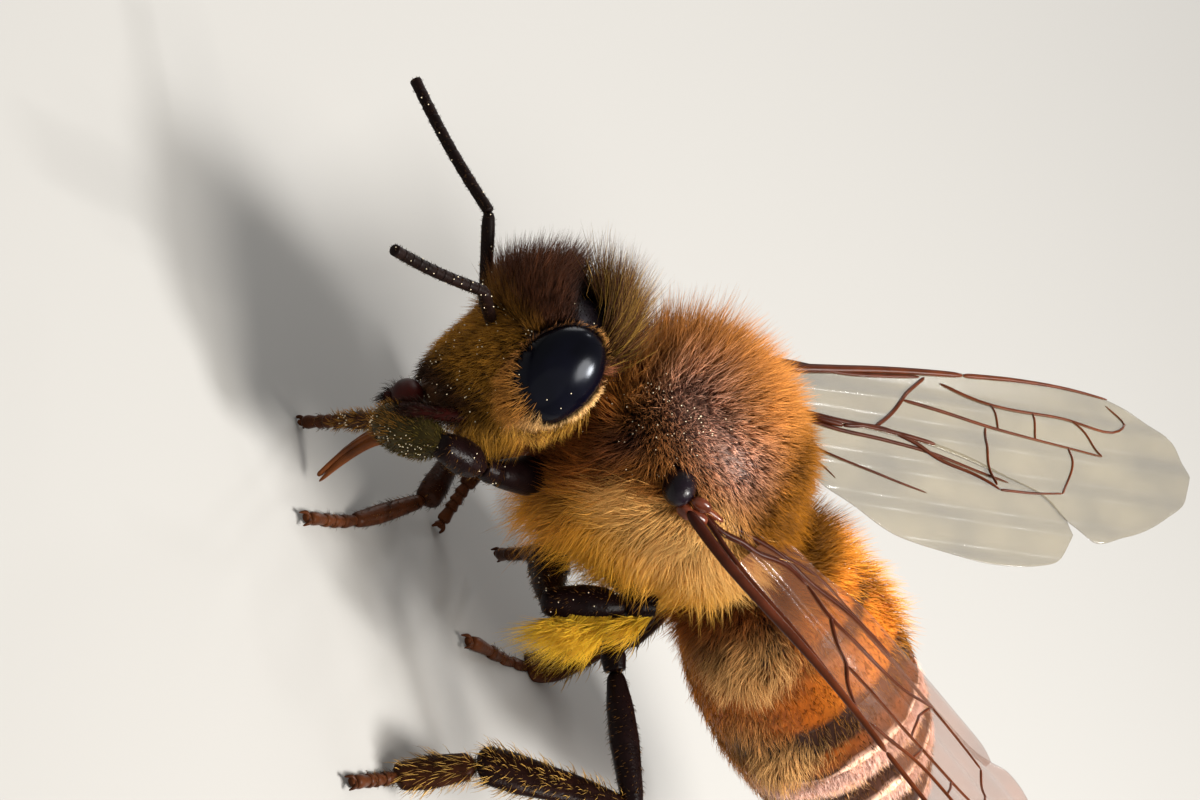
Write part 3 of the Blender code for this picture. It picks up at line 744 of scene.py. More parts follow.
def rim_style(p, n, rng):
    """Away from the middle of the eye: long, with gold tips, towards the jaws, cream and matted
    at the rear, tan at the crown."""
    e, jaws, rear, crown = rim_sides(p)
    out = np.stack([e[:, 0], np.full(len(p), 0.15), e[:, 2]], axis=-1)
    out[:, 1] *= np.sign(to_head(p)[:, 1])
    tint = mixed((0.12, 0.05, 0.025), (0.26, 0.11, 0.03), jaws)
    tint = mixed(mixed(tint, (0.5, 0.31, 0.18), rear), (0.25, 0.12, 0.05), crown)
    length = rng.uniform(0.12, 0.2, len(p)) + rng.uniform(0.08, 0.34, len(p)) * jaws * (1 - rear)
    return out @ HEAD_TURN.T, 0.5 + 0 * jaws, length, rng.uniform(0.009, 0.015, len(p)), tint


def cheek_fringe(p):
    """The edge of each eye's setting, behind and below."""
    e = eye_space(to_head(p))
    return above(round_eye(e) @ (-0.6, -0.8), 0.5, 0.3) * (np.abs(e[:, 1] + 0.05) < 0.18)


def nape_tuft(p):
    """The back of the crown, round the middle."""
    q = to_head(p)
    return hump(((q[:, 0] + 0.6) / 0.3) ** 2 + (q[:, 1] / 0.9) ** 2 + ((q[:, 2] - 1.2) / 0.4) ** 2)


def one_way(flow, stand, lengths, widths, dark, pale=None, rarity=1.0, mirrored=False):
    """A style of one flow and stand, with lengths and widths drawn between their two ends.

    The tint is dark, or between dark and pale, with fewer pale hairs the higher the rarity. A
    mirrored flow turns its y away from the middle of the head.
    """
    def style(p, n, rng):
        tint = np.tile(dark, (len(p), 1))
        if pale:
            tint = mixed(dark, pale, rng.random(len(p)) ** rarity)
        flows = np.tile(flow, (len(p), 1))
        if mirrored:
            flows[:, 1] *= np.sign(to_head(p)[:, 1])
        length, width = (rng.uniform(*ends, len(p)) for ends in (lengths, widths))
        return flows, np.full(len(p), stand), length, width, tint
    return style


cheek_style = one_way((-0.54, 0.67, -0.52), 0.35, (0.25, 0.6), (0.011, 0.017),
                      (0.14, 0.06, 0.015), (0.42, 0.23, 0.05), 1.5, mirrored=True)
nape_style = one_way(np.array([0.15, 0.1, 1.0]) @ HEAD_TURN.T, 0.2, (0.7, 1.75), (0.011, 0.017),
                     (0.04, 0.014, 0.009), (0.24, 0.14, 0.035), 3.5)
# Each coat's last value is its painted shading: painted shade at the roots, painted light at the
# tips
for part, skins, count, thickness, style, seed, clump, cell, painted_shading in (
        ("coat_eye_rims", both_eyes, 4200, rim_thickness, rim_style, 24, 0.5, 0.1, (0.1, 2.3)),
        ("coat_cheeks", both_eyes, 1500, cheek_fringe, cheek_style, 27, 0.45, 0.2, (0.15, 2.0)),
        ("coat_nape", [head], 3000, nape_tuft, nape_style, 25, 0.4, 0.2, (0.15, 2.2))):
    grow(part, skins, count, thickness, style, head_hair, "dark_fur", seed, clump, cell, painted_shading=painted_shading)

# ---- Feelers ---------------------------------------------------------------------------------
# Each is a stiff stalk from a socket in the face, a short knee joint, and ten close ring
# joints, black and finely haired. They stand up and forward, bent at the knee.

FEELERS = {
    "left": np.array([(4.24, 0.05, 0.01), (5.2, 0.69, 0.97), (7.48, 2.02, 1.56)]),
    "right": np.array([(4.18, -0.42, -0.35), (5.13, -1.59, 0.69), (6.8, -3.78, 0.4)]),
}


def smooth(line, shares):
    """Points at shares of the length of the smooth curve through a line of points."""
    line = np.asarray(line, float)
    reach = np.r_[0, np.cumsum(np.linalg.norm(np.diff(line, axis=0), axis=1))]
    return spline(reach / reach[-1], line, shares)


def limb(knots, widths, rows=40, cols=14, deep=1.0):
    """Rings round a smooth path: radius by share of the length, flattened to deep across it."""
    share = (1 - np.cos(math.pi * (np.arange(rows) + 0.5) / rows)) / 2
    path = smooth(knots, share)
    tangent = unit(np.gradient(path, axis=0))
    side = np.cross(tangent.mean(axis=0), (0, 0.02, 1))
    side = unit(side - tangent * (tangent @ side)[:, None])
    over = np.cross(tangent, side)
    at, radius = np.asarray(widths, float).T
    radius = np.interp(share, at, radius) * (1 - np.abs(2 * share - 1) ** 24) ** 0.5
    angle = 2 * math.pi * np.arange(cols) / cols
    ring = np.cos(angle)[:, None] * side[:, None] + deep * np.sin(angle)[:, None] * over[:, None]
    return path[:, None] + radius[:, None, None] * ring


STALK_WIDTHS = [(0, 0.13), (0.1, 0.1), (0.85, 0.115), (1, 0.1)]
JOINT_WIDTHS = [(0, 0.085), (0.08, 0.095), (0.5, 0.099), (0.94, 0.101), (1, 0.09)]
JOINT_SAG = np.array([0, 0, 0.06])
feeler_shell = horn("feeler_shell", (0.006, 0.0025, 0.002), gloss=0.4, depth=0.5, specular=0.06)
feelers = []
for side, (root, elbow, tip) in FEELERS.items():
    grids = [limb([root - unit(elbow - root) * 0.1, elbow], STALK_WIDTHS)]
    joints = elbow + np.linspace(0, 1, 12)[:, None] * (tip - elbow)
    joints = joints - JOINT_SAG * np.sin(np.linspace(0, math.pi, 12))[:, None]
    for a, b in zip(joints[:-1], joints[1:]):
        grids.append(limb([a - (b - a) * 0.06, b + (b - a) * 0.02], JOINT_WIDTHS, 12, 16))
    nodes = [f"antenna_{side}_scape", f"antenna_{side}_flagellum"]
    shells("feeler_" + side, grids, feeler_shell, nodes)
    feelers += grids


def everywhere(p):
    """Hair of the same thickness all over."""
    return np.ones(len(p))


down_style = one_way((1.0, 0.3, 0.4), 0.5, (0.03, 0.06), (0.008, 0.012), (0.04, 0.02, 0.01))
grow("feeler_down", feelers, 1500, everywhere, down_style, head_hair, "black_shell", 23, clump=0,
     scatter=0.13, stages=(0.0, 0.6))

# ---- Mouth -----------------------------------------------------------------------------------
# The upper lip under the face plate, two spoon-shaped jaws hinged below the eyes, polished red
# brown, and the amber sheaths of the tongue hanging folded between and below them.

JAW = np.array([(0.3, 0.72, -1.25), (0.6, 0.8, -1.52), (0.88, 0.68, -1.78), (1.08, 0.36, -2.02)])
JAW_WIDTHS = [(0, 0.14), (0.2, 0.16), (0.5, 0.12), (0.75, 0.17), (1, 0.15)]
TONGUE = np.array([(3.85, 0.62, -1.75), (3.88, 0.42, -2.5), (4.12, 0.3, -3.05),
                   (4.28, 0.45, -3.6), (4.4, 0.74, -4.1)])
SHEATH_WIDTHS = [(0, 0.13), (0.4, 0.12), (0.8, 0.07), (1, 0.03)]
TONGUE_WIDTHS = [(0, 0.08), (0.7, 0.06), (0.95, 0.05), (1, 0.06)]
mouth_shell = horn("mouth_shell", (0.022, 0.003, 0.002), gloss=0.34, mottle=0.5, depth=0.3,
                   specular=0.05)
sheath_shell = horn("sheath_shell", (0.11, 0.03, 0.005), gloss=0.32, mottle=0.5, coat=0.1)
lip = from_head(egg((1.04, 0, -1.72), (0.25, 0.42, 0.26), 30, 40, 2.2))
shells("upper_lip", [lip], mouth_shell, ("labrum",))
jaw_style = one_way((0.5, 0.1, -0.8), 0.45, (0.12, 0.32), (0.01, 0.015), (0.02, 0.009, 0.006))
for side, sign in (("left", 1), ("right", -1)):
    jaw = limb(from_head(JAW * (1, sign, 1)), JAW_WIDTHS, 50, 24, 0.8)
    shells("jaw_" + side, [jaw], mouth_shell, ("mandible_" + side,))
    grow("coat_jaw_" + side, [jaw], 500, everywhere, jaw_style, head_hair, "dark_fur", 26,
         scatter=0.13)
sheaths = [limb(TONGUE + (0, aside, 0), SHEATH_WIDTHS, 50, 16, 0.6) for aside in (0.1, -0.1)]
sheaths.append(limb(TONGUE + (0.05, 0, 0), TONGUE_WIDTHS, 50, 12))
shells("tongue", sheaths, sheath_shell, ("proboscis",))

# ---- Abdomen ---------------------------------------------------------------------------------
# Six horny rings, each with its rear edge over the front of the next, like a telescope: orange
# with dark rear bands at first, darker towards the pointed tail, and paler underneath, with
# shade painted down the sides.

ABDOMEN_START = np.array([-2.15, 0.0, -0.88])
DROOP = math.radians(26)
TAILWARD = np.array([-math.cos(DROOP), 0, -math.sin(DROOP)])
UPWARD = np.array([-math.sin(DROOP), 0, math.cos(DROOP)])
RING_EDGES = np.array([0.15, 1.3, 2.45, 3.55, 4.6, 5.6, 6.95])
ORANGE, RUST, PITCH = (0.52, 0.14, 0.01), (0.15, 0.036, 0.006), (0.035, 0.012, 0.006)
SHADY_ORANGE = (0.3, 0.07, 0.004)
PALE, UNDER = (0.85, 0.5, 0.36), (0.3, 0.11, 0.03)


def bare_half_width(s):
    """Half width of the abdomen's shell at a distance s along it."""
    knots = [0, 0.35, 0.8, 1.5, 2.5, 3.4, 4.4, 5.3, 6.1, 6.7, 7.0]
    wide = np.array([0.45, 1.05, 1.45, 1.72, 1.82, 1.8, 1.65, 1.32, 0.88, 0.42, 0.04])
    return spline(knots, wide[:, None], np.clip(s, 0, 7.0))[..., 0]


def abdomen_rings(s, lift, cols=160):
    """Rings square to the abdomen's axis at distances s, raised by lift off its shell."""
    angle = 2 * math.pi * (np.arange(cols) / cols - 0.25)
    wide = np.maximum(bare_half_width(s) + lift, 0.01)[:, None, None]
    c, h = np.cos(angle)[None, :, None], np.sin(angle)[None, :, None]
    return (ABDOMEN_START + s[:, None] * TAILWARD)[:, None] + wide * (
        c * (0, 1, 0) + 0.97 * h * UPWARD
    )


def abdomen_place(p):
    """Of points: distance along the abdomen, ring number, share of the ring, height share."""
    s = (p - ABDOMEN_START) @ TAILWARD
    ring = np.clip(np.searchsorted(RING_EDGES, s, side="right") - 1, 0, 5)
    share = (s - RING_EDGES[ring]) / (RING_EDGES[ring + 1] - RING_EDGES[ring])
    height = (p - ABDOMEN_START) @ UPWARD / np.maximum(bare_half_width(s), 0.1)
    return s, ring, np.clip(share, 0, 1), np.clip(height, -1, 1)


BAND_PLACES = np.array([0, 0.4, 0.5, 1.0, 1.1, 1.2, 1.45, 1.55, 2.35, 2.5, 3.0, 3.15, 3.5, 3.58,
                        3.95, 4.1, 4.5, 4.62, 4.85, 5.0, 5.5, 5.62, 5.8, 5.95, 7])
BANDS_ON_TOP = np.array([ORANGE, ORANGE, ORANGE, ORANGE, ORANGE, PITCH, PITCH, ORANGE, ORANGE,
                         PITCH, PITCH, RUST, PITCH, PALE, PALE, PITCH, PITCH, PALE, PALE, PITCH,
                         PITCH, PALE, PALE, PITCH, PITCH])
# The bands at the sides are darker than on top: painted shade down the abdomen's flanks
SHADED_SIDE_BANDS = np.array([RUST, RUST, PITCH, PITCH, *[SHADY_ORANGE] * 5, PITCH, PITCH,
                           SHADY_ORANGE, PITCH, PALE, PALE, PITCH, PITCH, PALE, PALE,
                           PITCH, PITCH, PALE, PALE, PITCH, PITCH])


def abdomen_tint(p):
    """Colour by distance along the abdomen, on top and at the sides, darker there as painted
    shade, and paler underneath.
    """
    s, ring, share, height = abdomen_place(p)
    around = np.arctan2(p[:, 1], height)
    s = s + 0.05 * np.sin(7 * around) + 0.03 * np.sin(17 * around + 3 * s)
    top, sides = (np.stack([np.interp(s, BAND_PLACES, bands[:, k]) for k in range(3)], axis=-1)
                  for bands in (BANDS_ON_TOP, SHADED_SIDE_BANDS))
    return mixed(mixed(sides, top, (height - 0.3) / 0.35), UNDER, (-0.6 - height) / 0.25)


RING_SHARES = np.array([0.02, 0, 0.03, 0.1, 0.5, 0.9, 0.97, 1.0, 0.99, 0.93])
RING_LIFTS = np.array([-0.2, -0.08, -0.04, -0.02, 0.01, 0.03, 0.03, 0.015, -0.01, -0.1])
abdomen_shell = horn("abdomen_shell", gloss=0.26, mottle=0.25, depth=0.35, coat=0.15)
step = np.linspace(0, len(RING_SHARES) - 1, 50)
shares, lifts = (np.interp(step, np.arange(len(v)), v) for v in (RING_SHARES, RING_LIFTS))
ring_shells = []
for low, high in zip(RING_EDGES[:-1] - 0.14, RING_EDGES[1:] + 0.1):
    s = low + (min(high, 6.99) - low) * shares
    ring_shells.append(abdomen_rings(s, np.where(s > 6.6, np.minimum(lifts, 0), lifts)))
shells("abdomen_rings", ring_shells, abdomen_shell,
       [f"abdomen_{k}" for k in range(1, 7)], abdomen_tint)

# ---- Abdomen coat ----------------------------------------------------------------------------
# Hair that lies back along the rings: long and upright on the first, in curly pale tufts down
# the sides, as a close pale felt at the front edges of the rear rings, and fine and short on
# the bare orange backs of the rings.

along = np.linspace(0.1, 6.9, 220)
abdomen = abdomen_rings(along, 0.02 + 0 * along, 200)
FELT, SIDE_GOLD, BACK_GOLD = (0.9, 0.57, 0.68), (0.66, 0.37, 0.2), (0.62, 0.27, 0.05)


def felt_share(p):
    """1 in the pale felt bands at the front edges of the rear three rings."""
    s, ring, share, height = abdomen_place(p)
    deep = np.array([0, 0, 0, 0.36, 0.3, 0.24])[ring]
    return below(share, deep, 0.08) * (deep > 0) * above(height, -0.8, 0.3)


def side_share(p):
    """1 in the long tufts of the sides: a large one on the second ring, then one to a ring."""
    s, ring, share, height = abdomen_place(p)
    first = hump(((s - 1.05) / 0.42) ** 2 + ((height - 0.02) / 0.4) ** 2)
    second = 0.8 * hump(((s - 2.9) / 0.4) ** 2 + ((height + 0.12) / 0.38) ** 2)
    rest = 0.45 * hump(((share - 0.8) / 0.35) ** 2 + ((height + 0.35) / 0.3) ** 2)
    return np.clip(first + second + rest, 0, 1)


def bare_back_share(s, height):
    """1 on the bare orange backs of the first rings."""
    return above(height, 0.35, 0.3) * below(s, 3.0, 0.6)


def abdomen_hair_tint(p):
    """Each hair has its ring's colour, lighter, with the felt and the side tufts pale."""
    s, ring, share, height = abdomen_place(p)
    colour = np.clip(abdomen_tint(p) * 1.05 + (0.05, 0.02, 0.004), 0, 1)
    colour = mixed(colour, BACK_GOLD, 0.6 * bare_back_share(s, height))
    colour = mixed(colour, mixed(RUST, BACK_FOX, (height - 0.35) / 0.3), (0.75 - s) / 0.4)
    colour = mixed(colour, SIDE_GOLD, side_share(p) * 1.3)
    return mixed(colour, FELT, felt_share(p))


def abdomen_thickness(p):
    """Dense at the front, in the tufts and the felt, sparse on the bare backs of rings."""
    s = abdomen_place(p)[0]
    return 0.35 + 1.0 * side_share(p) + 1.5 * felt_share(p) + 1.6 * below(s, 0.8, 0.4)


def abdomen_style(p, n, rng):
    """Back along the abdomen, down and curling at the sides; upright on the first ring."""
    s, ring, share, height = abdomen_place(p)
    x, y, z = p.T
    front, side, felt = below(s, 1.0, 0.6), side_share(p), felt_share(p)
    curl = np.stack([np.sin(9 * z), 0 * s, np.sin(8 * x + 5 * y)], axis=-1)
    flow = TAILWARD - 0.5 * side[:, None] * UPWARD + 0.6 * side[:, None] * curl
    top = bare_back_share(s, height) * below(y, 0.5, 0.5)
    stand = 0.14 + 0.4 * np.maximum(front, top) + 0.2 * side - 0.08 * felt
    length = 0.2 + 0.35 * front + 0.25 * top + 0.5 * side * (1 - felt) + 0.06 * felt
    outline = np.maximum(below(height, -0.1, 0.4), top) * below(s, 4.5, 1.5)
    length = (length + 0.16 * outline) * rng.uniform(0.5, 1.15, len(p))
    length = length * np.maximum(below(s, 7.1, 1.2), 0.35)
    width = rng.uniform(0.009, 0.015, len(p)) * (1 + 0.5 * front + 0.35 * side)
    return flow, stand, length, width, abdomen_hair_tint(p)


abdomen_hair = hair_finish("abdomen_hair")
# The abdomen's coats take painted shade at the hair roots and painted light at the tips
for part, seed, low, high in (("coat_abdomen_front", 31, 0, 2.45),
                              ("coat_abdomen_rear", 32, 2.45, 7)):
    def thickness(p, low=low, high=high):
        """The abdomen's own, within this piece's share of it."""
        s = abdomen_place(p)[0]
        return abdomen_thickness(p) * ((s >= low) & (s < high))
    grow(part, [abdomen], 15500, thickness, abdomen_style, abdomen_hair, "banded_abdomen", seed,
         clump=0.65, cell=0.16, curl=0.2, painted_shading=(0.6, 1.5))

# ---- Wings -----------------------------------------------------------------------------------
# Two pairs of clear, faintly smoky and ribbed membranes, the rear one hooked to the front one
# along a fold, stiffened by red-brown hollow veins. A black scale covers each pair's hinge.

WING_LENGTH = 9.2
WING_BASE = np.array([0.19, 1.75, 0.75])
WING_ANGLES = {"left": (27.5, 0.9, 9.0), "right": (25.0, 12.7, 0.0)}
FOLDS = {
    "left": [(0.02, 0.02), (0.1, 0.085), (0.2, 0.14), (0.32, 0.2), (0.44, 0.235), (0.56, 0.252),
             (0.66, 0.27), (0.71, 0.295)],
    "right": [(0.02, 0.02), (0.1, 0.075), (0.2, 0.11), (0.32, 0.125), (0.44, 0.145),
              (0.58, 0.19), (0.66, 0.235), (0.71, 0.285)],
}
HINDWING_SHOWN = {"left": 0.62, "right": 1.0}
WING_FRONT = [(0.02, -0.03), (0.12, -0.035), (0.3, -0.035), (0.5, -0.037), (0.62, -0.034),
              (0.75, -0.03), (0.87, -0.015), (0.95, 0.03), (1.0, 0.1), (1.005, 0.155)]
WING_TIP = [(0.74, 0.318), (0.82, 0.3), (0.92, 0.255), (0.98, 0.21), (1.005, 0.155)]
HINDWING_REAR = [(0.03, 0.04), (0.06, 0.11), (0.12, 0.19), (0.2, 0.27), (0.3, 0.33),
                 (0.4, 0.365), (0.5, 0.385), (0.6, 0.38), (0.66, 0.36), (0.705, 0.305)]


def wing_point(side, u, v, height):
    """A point of a wing: u along it and v towards its rear edge, in wing lengths.

    The wing is spread, raised and twisted as one plane, slightly cambered, and ribbed along
    its length with ridges that fade towards its rear.
    """
    sign = 1 if side == "left" else -1
    spread, rise, twist = (math.radians(a) for a in WING_ANGLES[side])
    along = np.array([-math.cos(rise) * math.cos(spread), sign * math.cos(rise) * math.sin(spread),
                      math.sin(rise)])
    rear = np.cross((0, 0, 1.0), along)
    rear *= -sign / np.linalg.norm(rear) * np.sign(rear[1])
    upper = np.cross(along, rear)
    upper *= np.sign(upper[2])
    rear = rear * math.cos(twist) - upper * math.sin(twist)
    upper = np.cross(along, rear)
    upper *= np.sign(upper[2])
    u, v, height = (np.asarray(w, float)[..., None] for w in (u, v, height))
    ribs = 0.035 * np.sin(2 * math.pi * (v / 0.085 - u * 0.6)) * above(u, 0, 0.15)
    waves = 0.02 * np.sin(5 * u + 9 * v) + 0.0025 * np.sin(47 * u - 30 * v)
    camber = 0.1 * np.sin(math.pi * above(v, -0.03, 0.36)) * above(u, 0, 0.2)
    lift = height + (ribs + waves + camber) * above(v, -0.01, 0.05)
    return WING_BASE * (1, sign, 1) + WING_LENGTH * (u * along + v * rear) + lift * upper


FILM_HALF = 0.008


def membrane(side, front, rear):
    """A closed sheet between two edges given as (u, v) curves, half its thickness either way."""
    front, rear = (smooth(edge, np.linspace(0, 1, 200)) for edge in (front, rear))
    first = max(front[0, 0], rear[0, 0])
    last = min(front[-1, 0], rear[-1, 0])
    u = first + (last - first) * (1 - np.cos(math.pi * np.linspace(0, 1, 150))) / 2
    near, far = (np.interp(u, *edge.T)[:, None] for edge in (front, rear))
    v = near + (far - near) * np.linspace(0, 1, 44)
    u = np.repeat(u[:, None], 44, axis=1)
    top, low = (wing_point(side, u, v, 0 * u + half) for half in (FILM_HALF, -FILM_HALF))
    return np.concatenate([top, low[:, ::-1]], axis=1)


def vein(side, line, start, end, height=0.0):
    """A tube along a line of (u, v) points on a wing, narrowing from start to end in mm."""
    u, v = smooth(line, np.linspace(0, 1, 30)).T
    return limb(wing_point(side, u, v, 0 * u + height), [(0, start), (1, end)], 34, 8)


def wing_tint(p):
    """Red brown at the hinge, paler along the wing."""
    out = np.clip(np.abs(p[:, 1]) - 1.7, 0, None) + np.clip(0.2 - p[:, 0], 0, None)
    return mixed((0.018, 0.003, 0.0015), (0.08, 0.018, 0.005), out / 8)


FRONT_VEINS = {
    "left": [(0.0, -0.045), (0.13, -0.055), (0.235, -0.043), (0.328, -0.03), (0.468, -0.026),
             (0.56, -0.034)],
    "right": [(0.0, -0.01), (0.147, -0.008), (0.258, -0.016), (0.371, -0.026), (0.484, -0.032),
              (0.56, -0.034)],
}
FOREWING_VEINS = [
    ([(0.56, -0.034), (0.68, -0.036), (0.8, -0.028), (0.88, -0.014)], 0.05, 0.02),
    ([(0.02, 0.0), (0.055, 0.005), (0.118, 0.049), (0.189, 0.108), (0.24, 0.12)], 0.06, 0.05),
    ([(0.24, 0.12), (0.312, 0.115), (0.392, 0.139), (0.447, 0.168), (0.508, 0.191),
      (0.56, 0.225)], 0.045, 0.024),
    ([(0.312, 0.115), (0.37, 0.07), (0.411, 0.027), (0.47, -0.02)], 0.04, 0.035),
    ([(0.02, 0.0), (0.12, -0.022), (0.3, -0.01), (0.46, -0.02)], 0.05, 0.035),
    ([(0.5, -0.01), (0.6, 0.03), (0.75, 0.045), (0.88, 0.06), (0.9, 0.04), (0.87, 0.0)],
     0.035, 0.02),
    ([(0.395, 0.045), (0.5, 0.065), (0.6, 0.085), (0.72, 0.105), (0.82, 0.125)], 0.034, 0.02),
    ([(0.555, 0.215), (0.554, 0.145), (0.572, 0.083)], 0.026, 0.024),
    ([(0.56, 0.225), (0.64, 0.225), (0.7, 0.22)], 0.024, 0.018),
    ([(0.7, 0.22), (0.74, 0.16), (0.75, 0.11)], 0.022, 0.022),
    ([(0.82, 0.125), (0.8, 0.08), (0.77, 0.045)], 0.022, 0.022),
    ([(0.6, 0.085), (0.6, 0.03)], 0.022, 0.022),
    ([(0.68, 0.1), (0.69, 0.04)], 0.022, 0.022),
]
WING_SCALES = {"left": ((0.63, 1.7, 0.83), (0.28, 0.4, 0.29)),
               "right": ((0.65, -1.66, 0.7), (0.27, 0.28, 0.27))}
ROOT_PLATES = [((0.3, 1.92, 0.66), (0.2, 0.16, 0.14)), ((0.1, 1.95, 0.72), (0.22, 0.12, 0.11)),
               ((0.2, 1.9, 0.92), (0.2, 0.1, 0.13)), ((-0.05, 1.82, 0.84), (0.3, 0.08, 0.07))]
HIND_DROP = 0.05
vein_shell = horn("vein_shell", gloss=0.25, mottle=0.35, depth=0.3, specular=0.08)
scale_shell = horn("scale_shell", (0.003, 0.001, 0.003), gloss=0.22, mottle=0.6, depth=0.9,
                   coat=0.12)
root_shell = horn("root_shell", (0.07, 0.014, 0.005), gloss=0.2, mottle=0.5, depth=0.3, coat=0.3)
for side, smoke, clear in (("left", (0.17, 0.06, 0.025), 0.3), ("right", (0.17, 0.14, 0.08), 0.4)):
    film = horn("film_" + side, smoke, gloss=0.08, mottle=0.3, depth=0.12, sizes=(900, 9000),
                specular=0.5)
    fill(shader_of(film), {"Alpha": clear})
    fold, edge_vein = np.array(FOLDS[side]), np.array(FRONT_VEINS[side])
    front = membrane(side, np.vstack([edge_vein[1:] - (0, 0.004), WING_FRONT[4:]]),
                     np.vstack([fold, WING_TIP]))
    shells("membrane_fore_" + side, [front], film, ("forewing_" + side,))
    along, rear = np.array(HINDWING_REAR).T
    crease = np.interp(along, *fold.T)
    rear = crease + HINDWING_SHOWN[side] * (rear - crease)
    hind = membrane(side, fold - (0, 0.012), np.stack([along, rear], axis=1))
    shells("membrane_hind_" + side, [hind - (0, 0, HIND_DROP)], film, ("hindwing_" + side,))
    veins = [vein(side, *v) for v in FOREWING_VEINS]
    veins.append(vein(side, edge_vein, 0.105, 0.055))
    veins.append(vein(side, fold[:5] - (0, 0.006), 0.055, 0.04))
    veins.append(vein(side, fold[:6] + (0.01, 0.012), 0.045, 0.025, -HIND_DROP))
    for share, count, start, end in ((0.45, 6, 0.04, 0.018), (0.75, 4, 0.03, 0.015)):
        line = np.stack([along, crease + share * (rear - crease)], axis=1)
        veins.append(vein(side, line[:count], start, end, -HIND_DROP))
    shells("veins_" + side, veins, vein_shell, (), wing_tint)
for side, sign in (("left", 1), ("right", -1)):
    scale = egg(*WING_SCALES[side], 36, 48, 2.2)
    shells("wing_scale_" + side, [scale], scale_shell, ("tegula_" + side,))
    plates = [egg(np.array(middle) * (1, sign, 1), size, 20, 24) for middle, size in ROOT_PLATES]
    shells("wing_root_" + side, plates, root_shell)

# ---- Legs ------------------------------------------------------------------------------------
# Six jointed legs of black horn, browner towards the feet: hip, short second joint, thigh,
# shin, a long first foot joint, four small ones, and two hooked claws with a pad between.

LEGS = {
    "fore_left": ((1.7, 0.55, -1.5), (2.75, 1.4, -1.4), (4.06, 1.98, -1.14), (4.66, 1.02, -2.13),
                  (4.9, -0.2, None)),
    "mid_left": ((0.0, 0.75, -1.85), (-0.87, 1.67, -1.6), (0.59, 2.04, -2.46),
                 (0.26, 0.1, -3.07), (-0.04, -1.47, -4.9)),
    "hind_left": ((-1.2, 0.7, -2.0), (-0.9, 1.94, -2.54), (-2.33, 4.1, -3.33),
                  (0.35, 4.65, -4.01), (1.4, 5.03, None), (2.3, 6.0, None)),
    "fore_right": ((1.7, -0.55, -1.5), (2.1, -1.1, -2.15), (2.0, -1.7, -3.55),
                   (2.2, -0.45, -4.05), (3.25, 0.56, None), (4.42, 1.7, None)),
    "mid_right": ((0.0, -0.75, -1.85), (-0.1, -1.5, -2.3), (0.5, -3.2, -2.6),
                  (1.0, -2.7, -4.2), (1.08, -1.6, None)),
    "hind_right": ((-1.0, -0.75, -1.85), (-1.4, -1.6, -2.3), (-3.3, -3.3, -2.6),
                   (-2.9, -1.9, -5.2), (-2.2, -1.25, None), (-0.1, 0.25, None)),
}
# Radii of each pair: hip, thigh, shin, first foot joint, small foot joints
LEG_RADII = {
    "fore": (0.34, 0.27, 0.24, 0.17, 0.12),
    "mid": (0.31, 0.34, 0.36, 0.17, 0.12),
    "hind": (0.31, 0.27, 0.42, 0.32, 0.13),
}
FORE_LEFT_RADII = (0.34, 0.33, 0.34, 0.17, 0.12)
LEG_BLACK, LEG_BROWN, LEG_OLIVE = (0.005, 0.002, 0.002), (0.06, 0.018, 0.006), (0.03, 0.022, 0.006)
# How far each joint has turned from black to brown, from the hip to the claws
LEG_FOXING = np.array([0, 0, 0, 0.05, 0.4, 0.6, 0.7, 0.8, 0.8, 0.9, 0.6, 0.6])
FLOOR_UP = np.array([-math.sin(STANCE_PITCH), 0, math.cos(STANCE_PITCH)])
SOLE_GAP, CLAW_GAP = 0.02, 0.012


def on_floor(x, y, small):
    """A joint's place whose small foot joints lie just over the floor."""
    low = math.tan(STANCE_PITCH) * x - STANCE_HEIGHT
    return x, y, low + (small + SOLE_GAP) / math.cos(STANCE_PITCH)


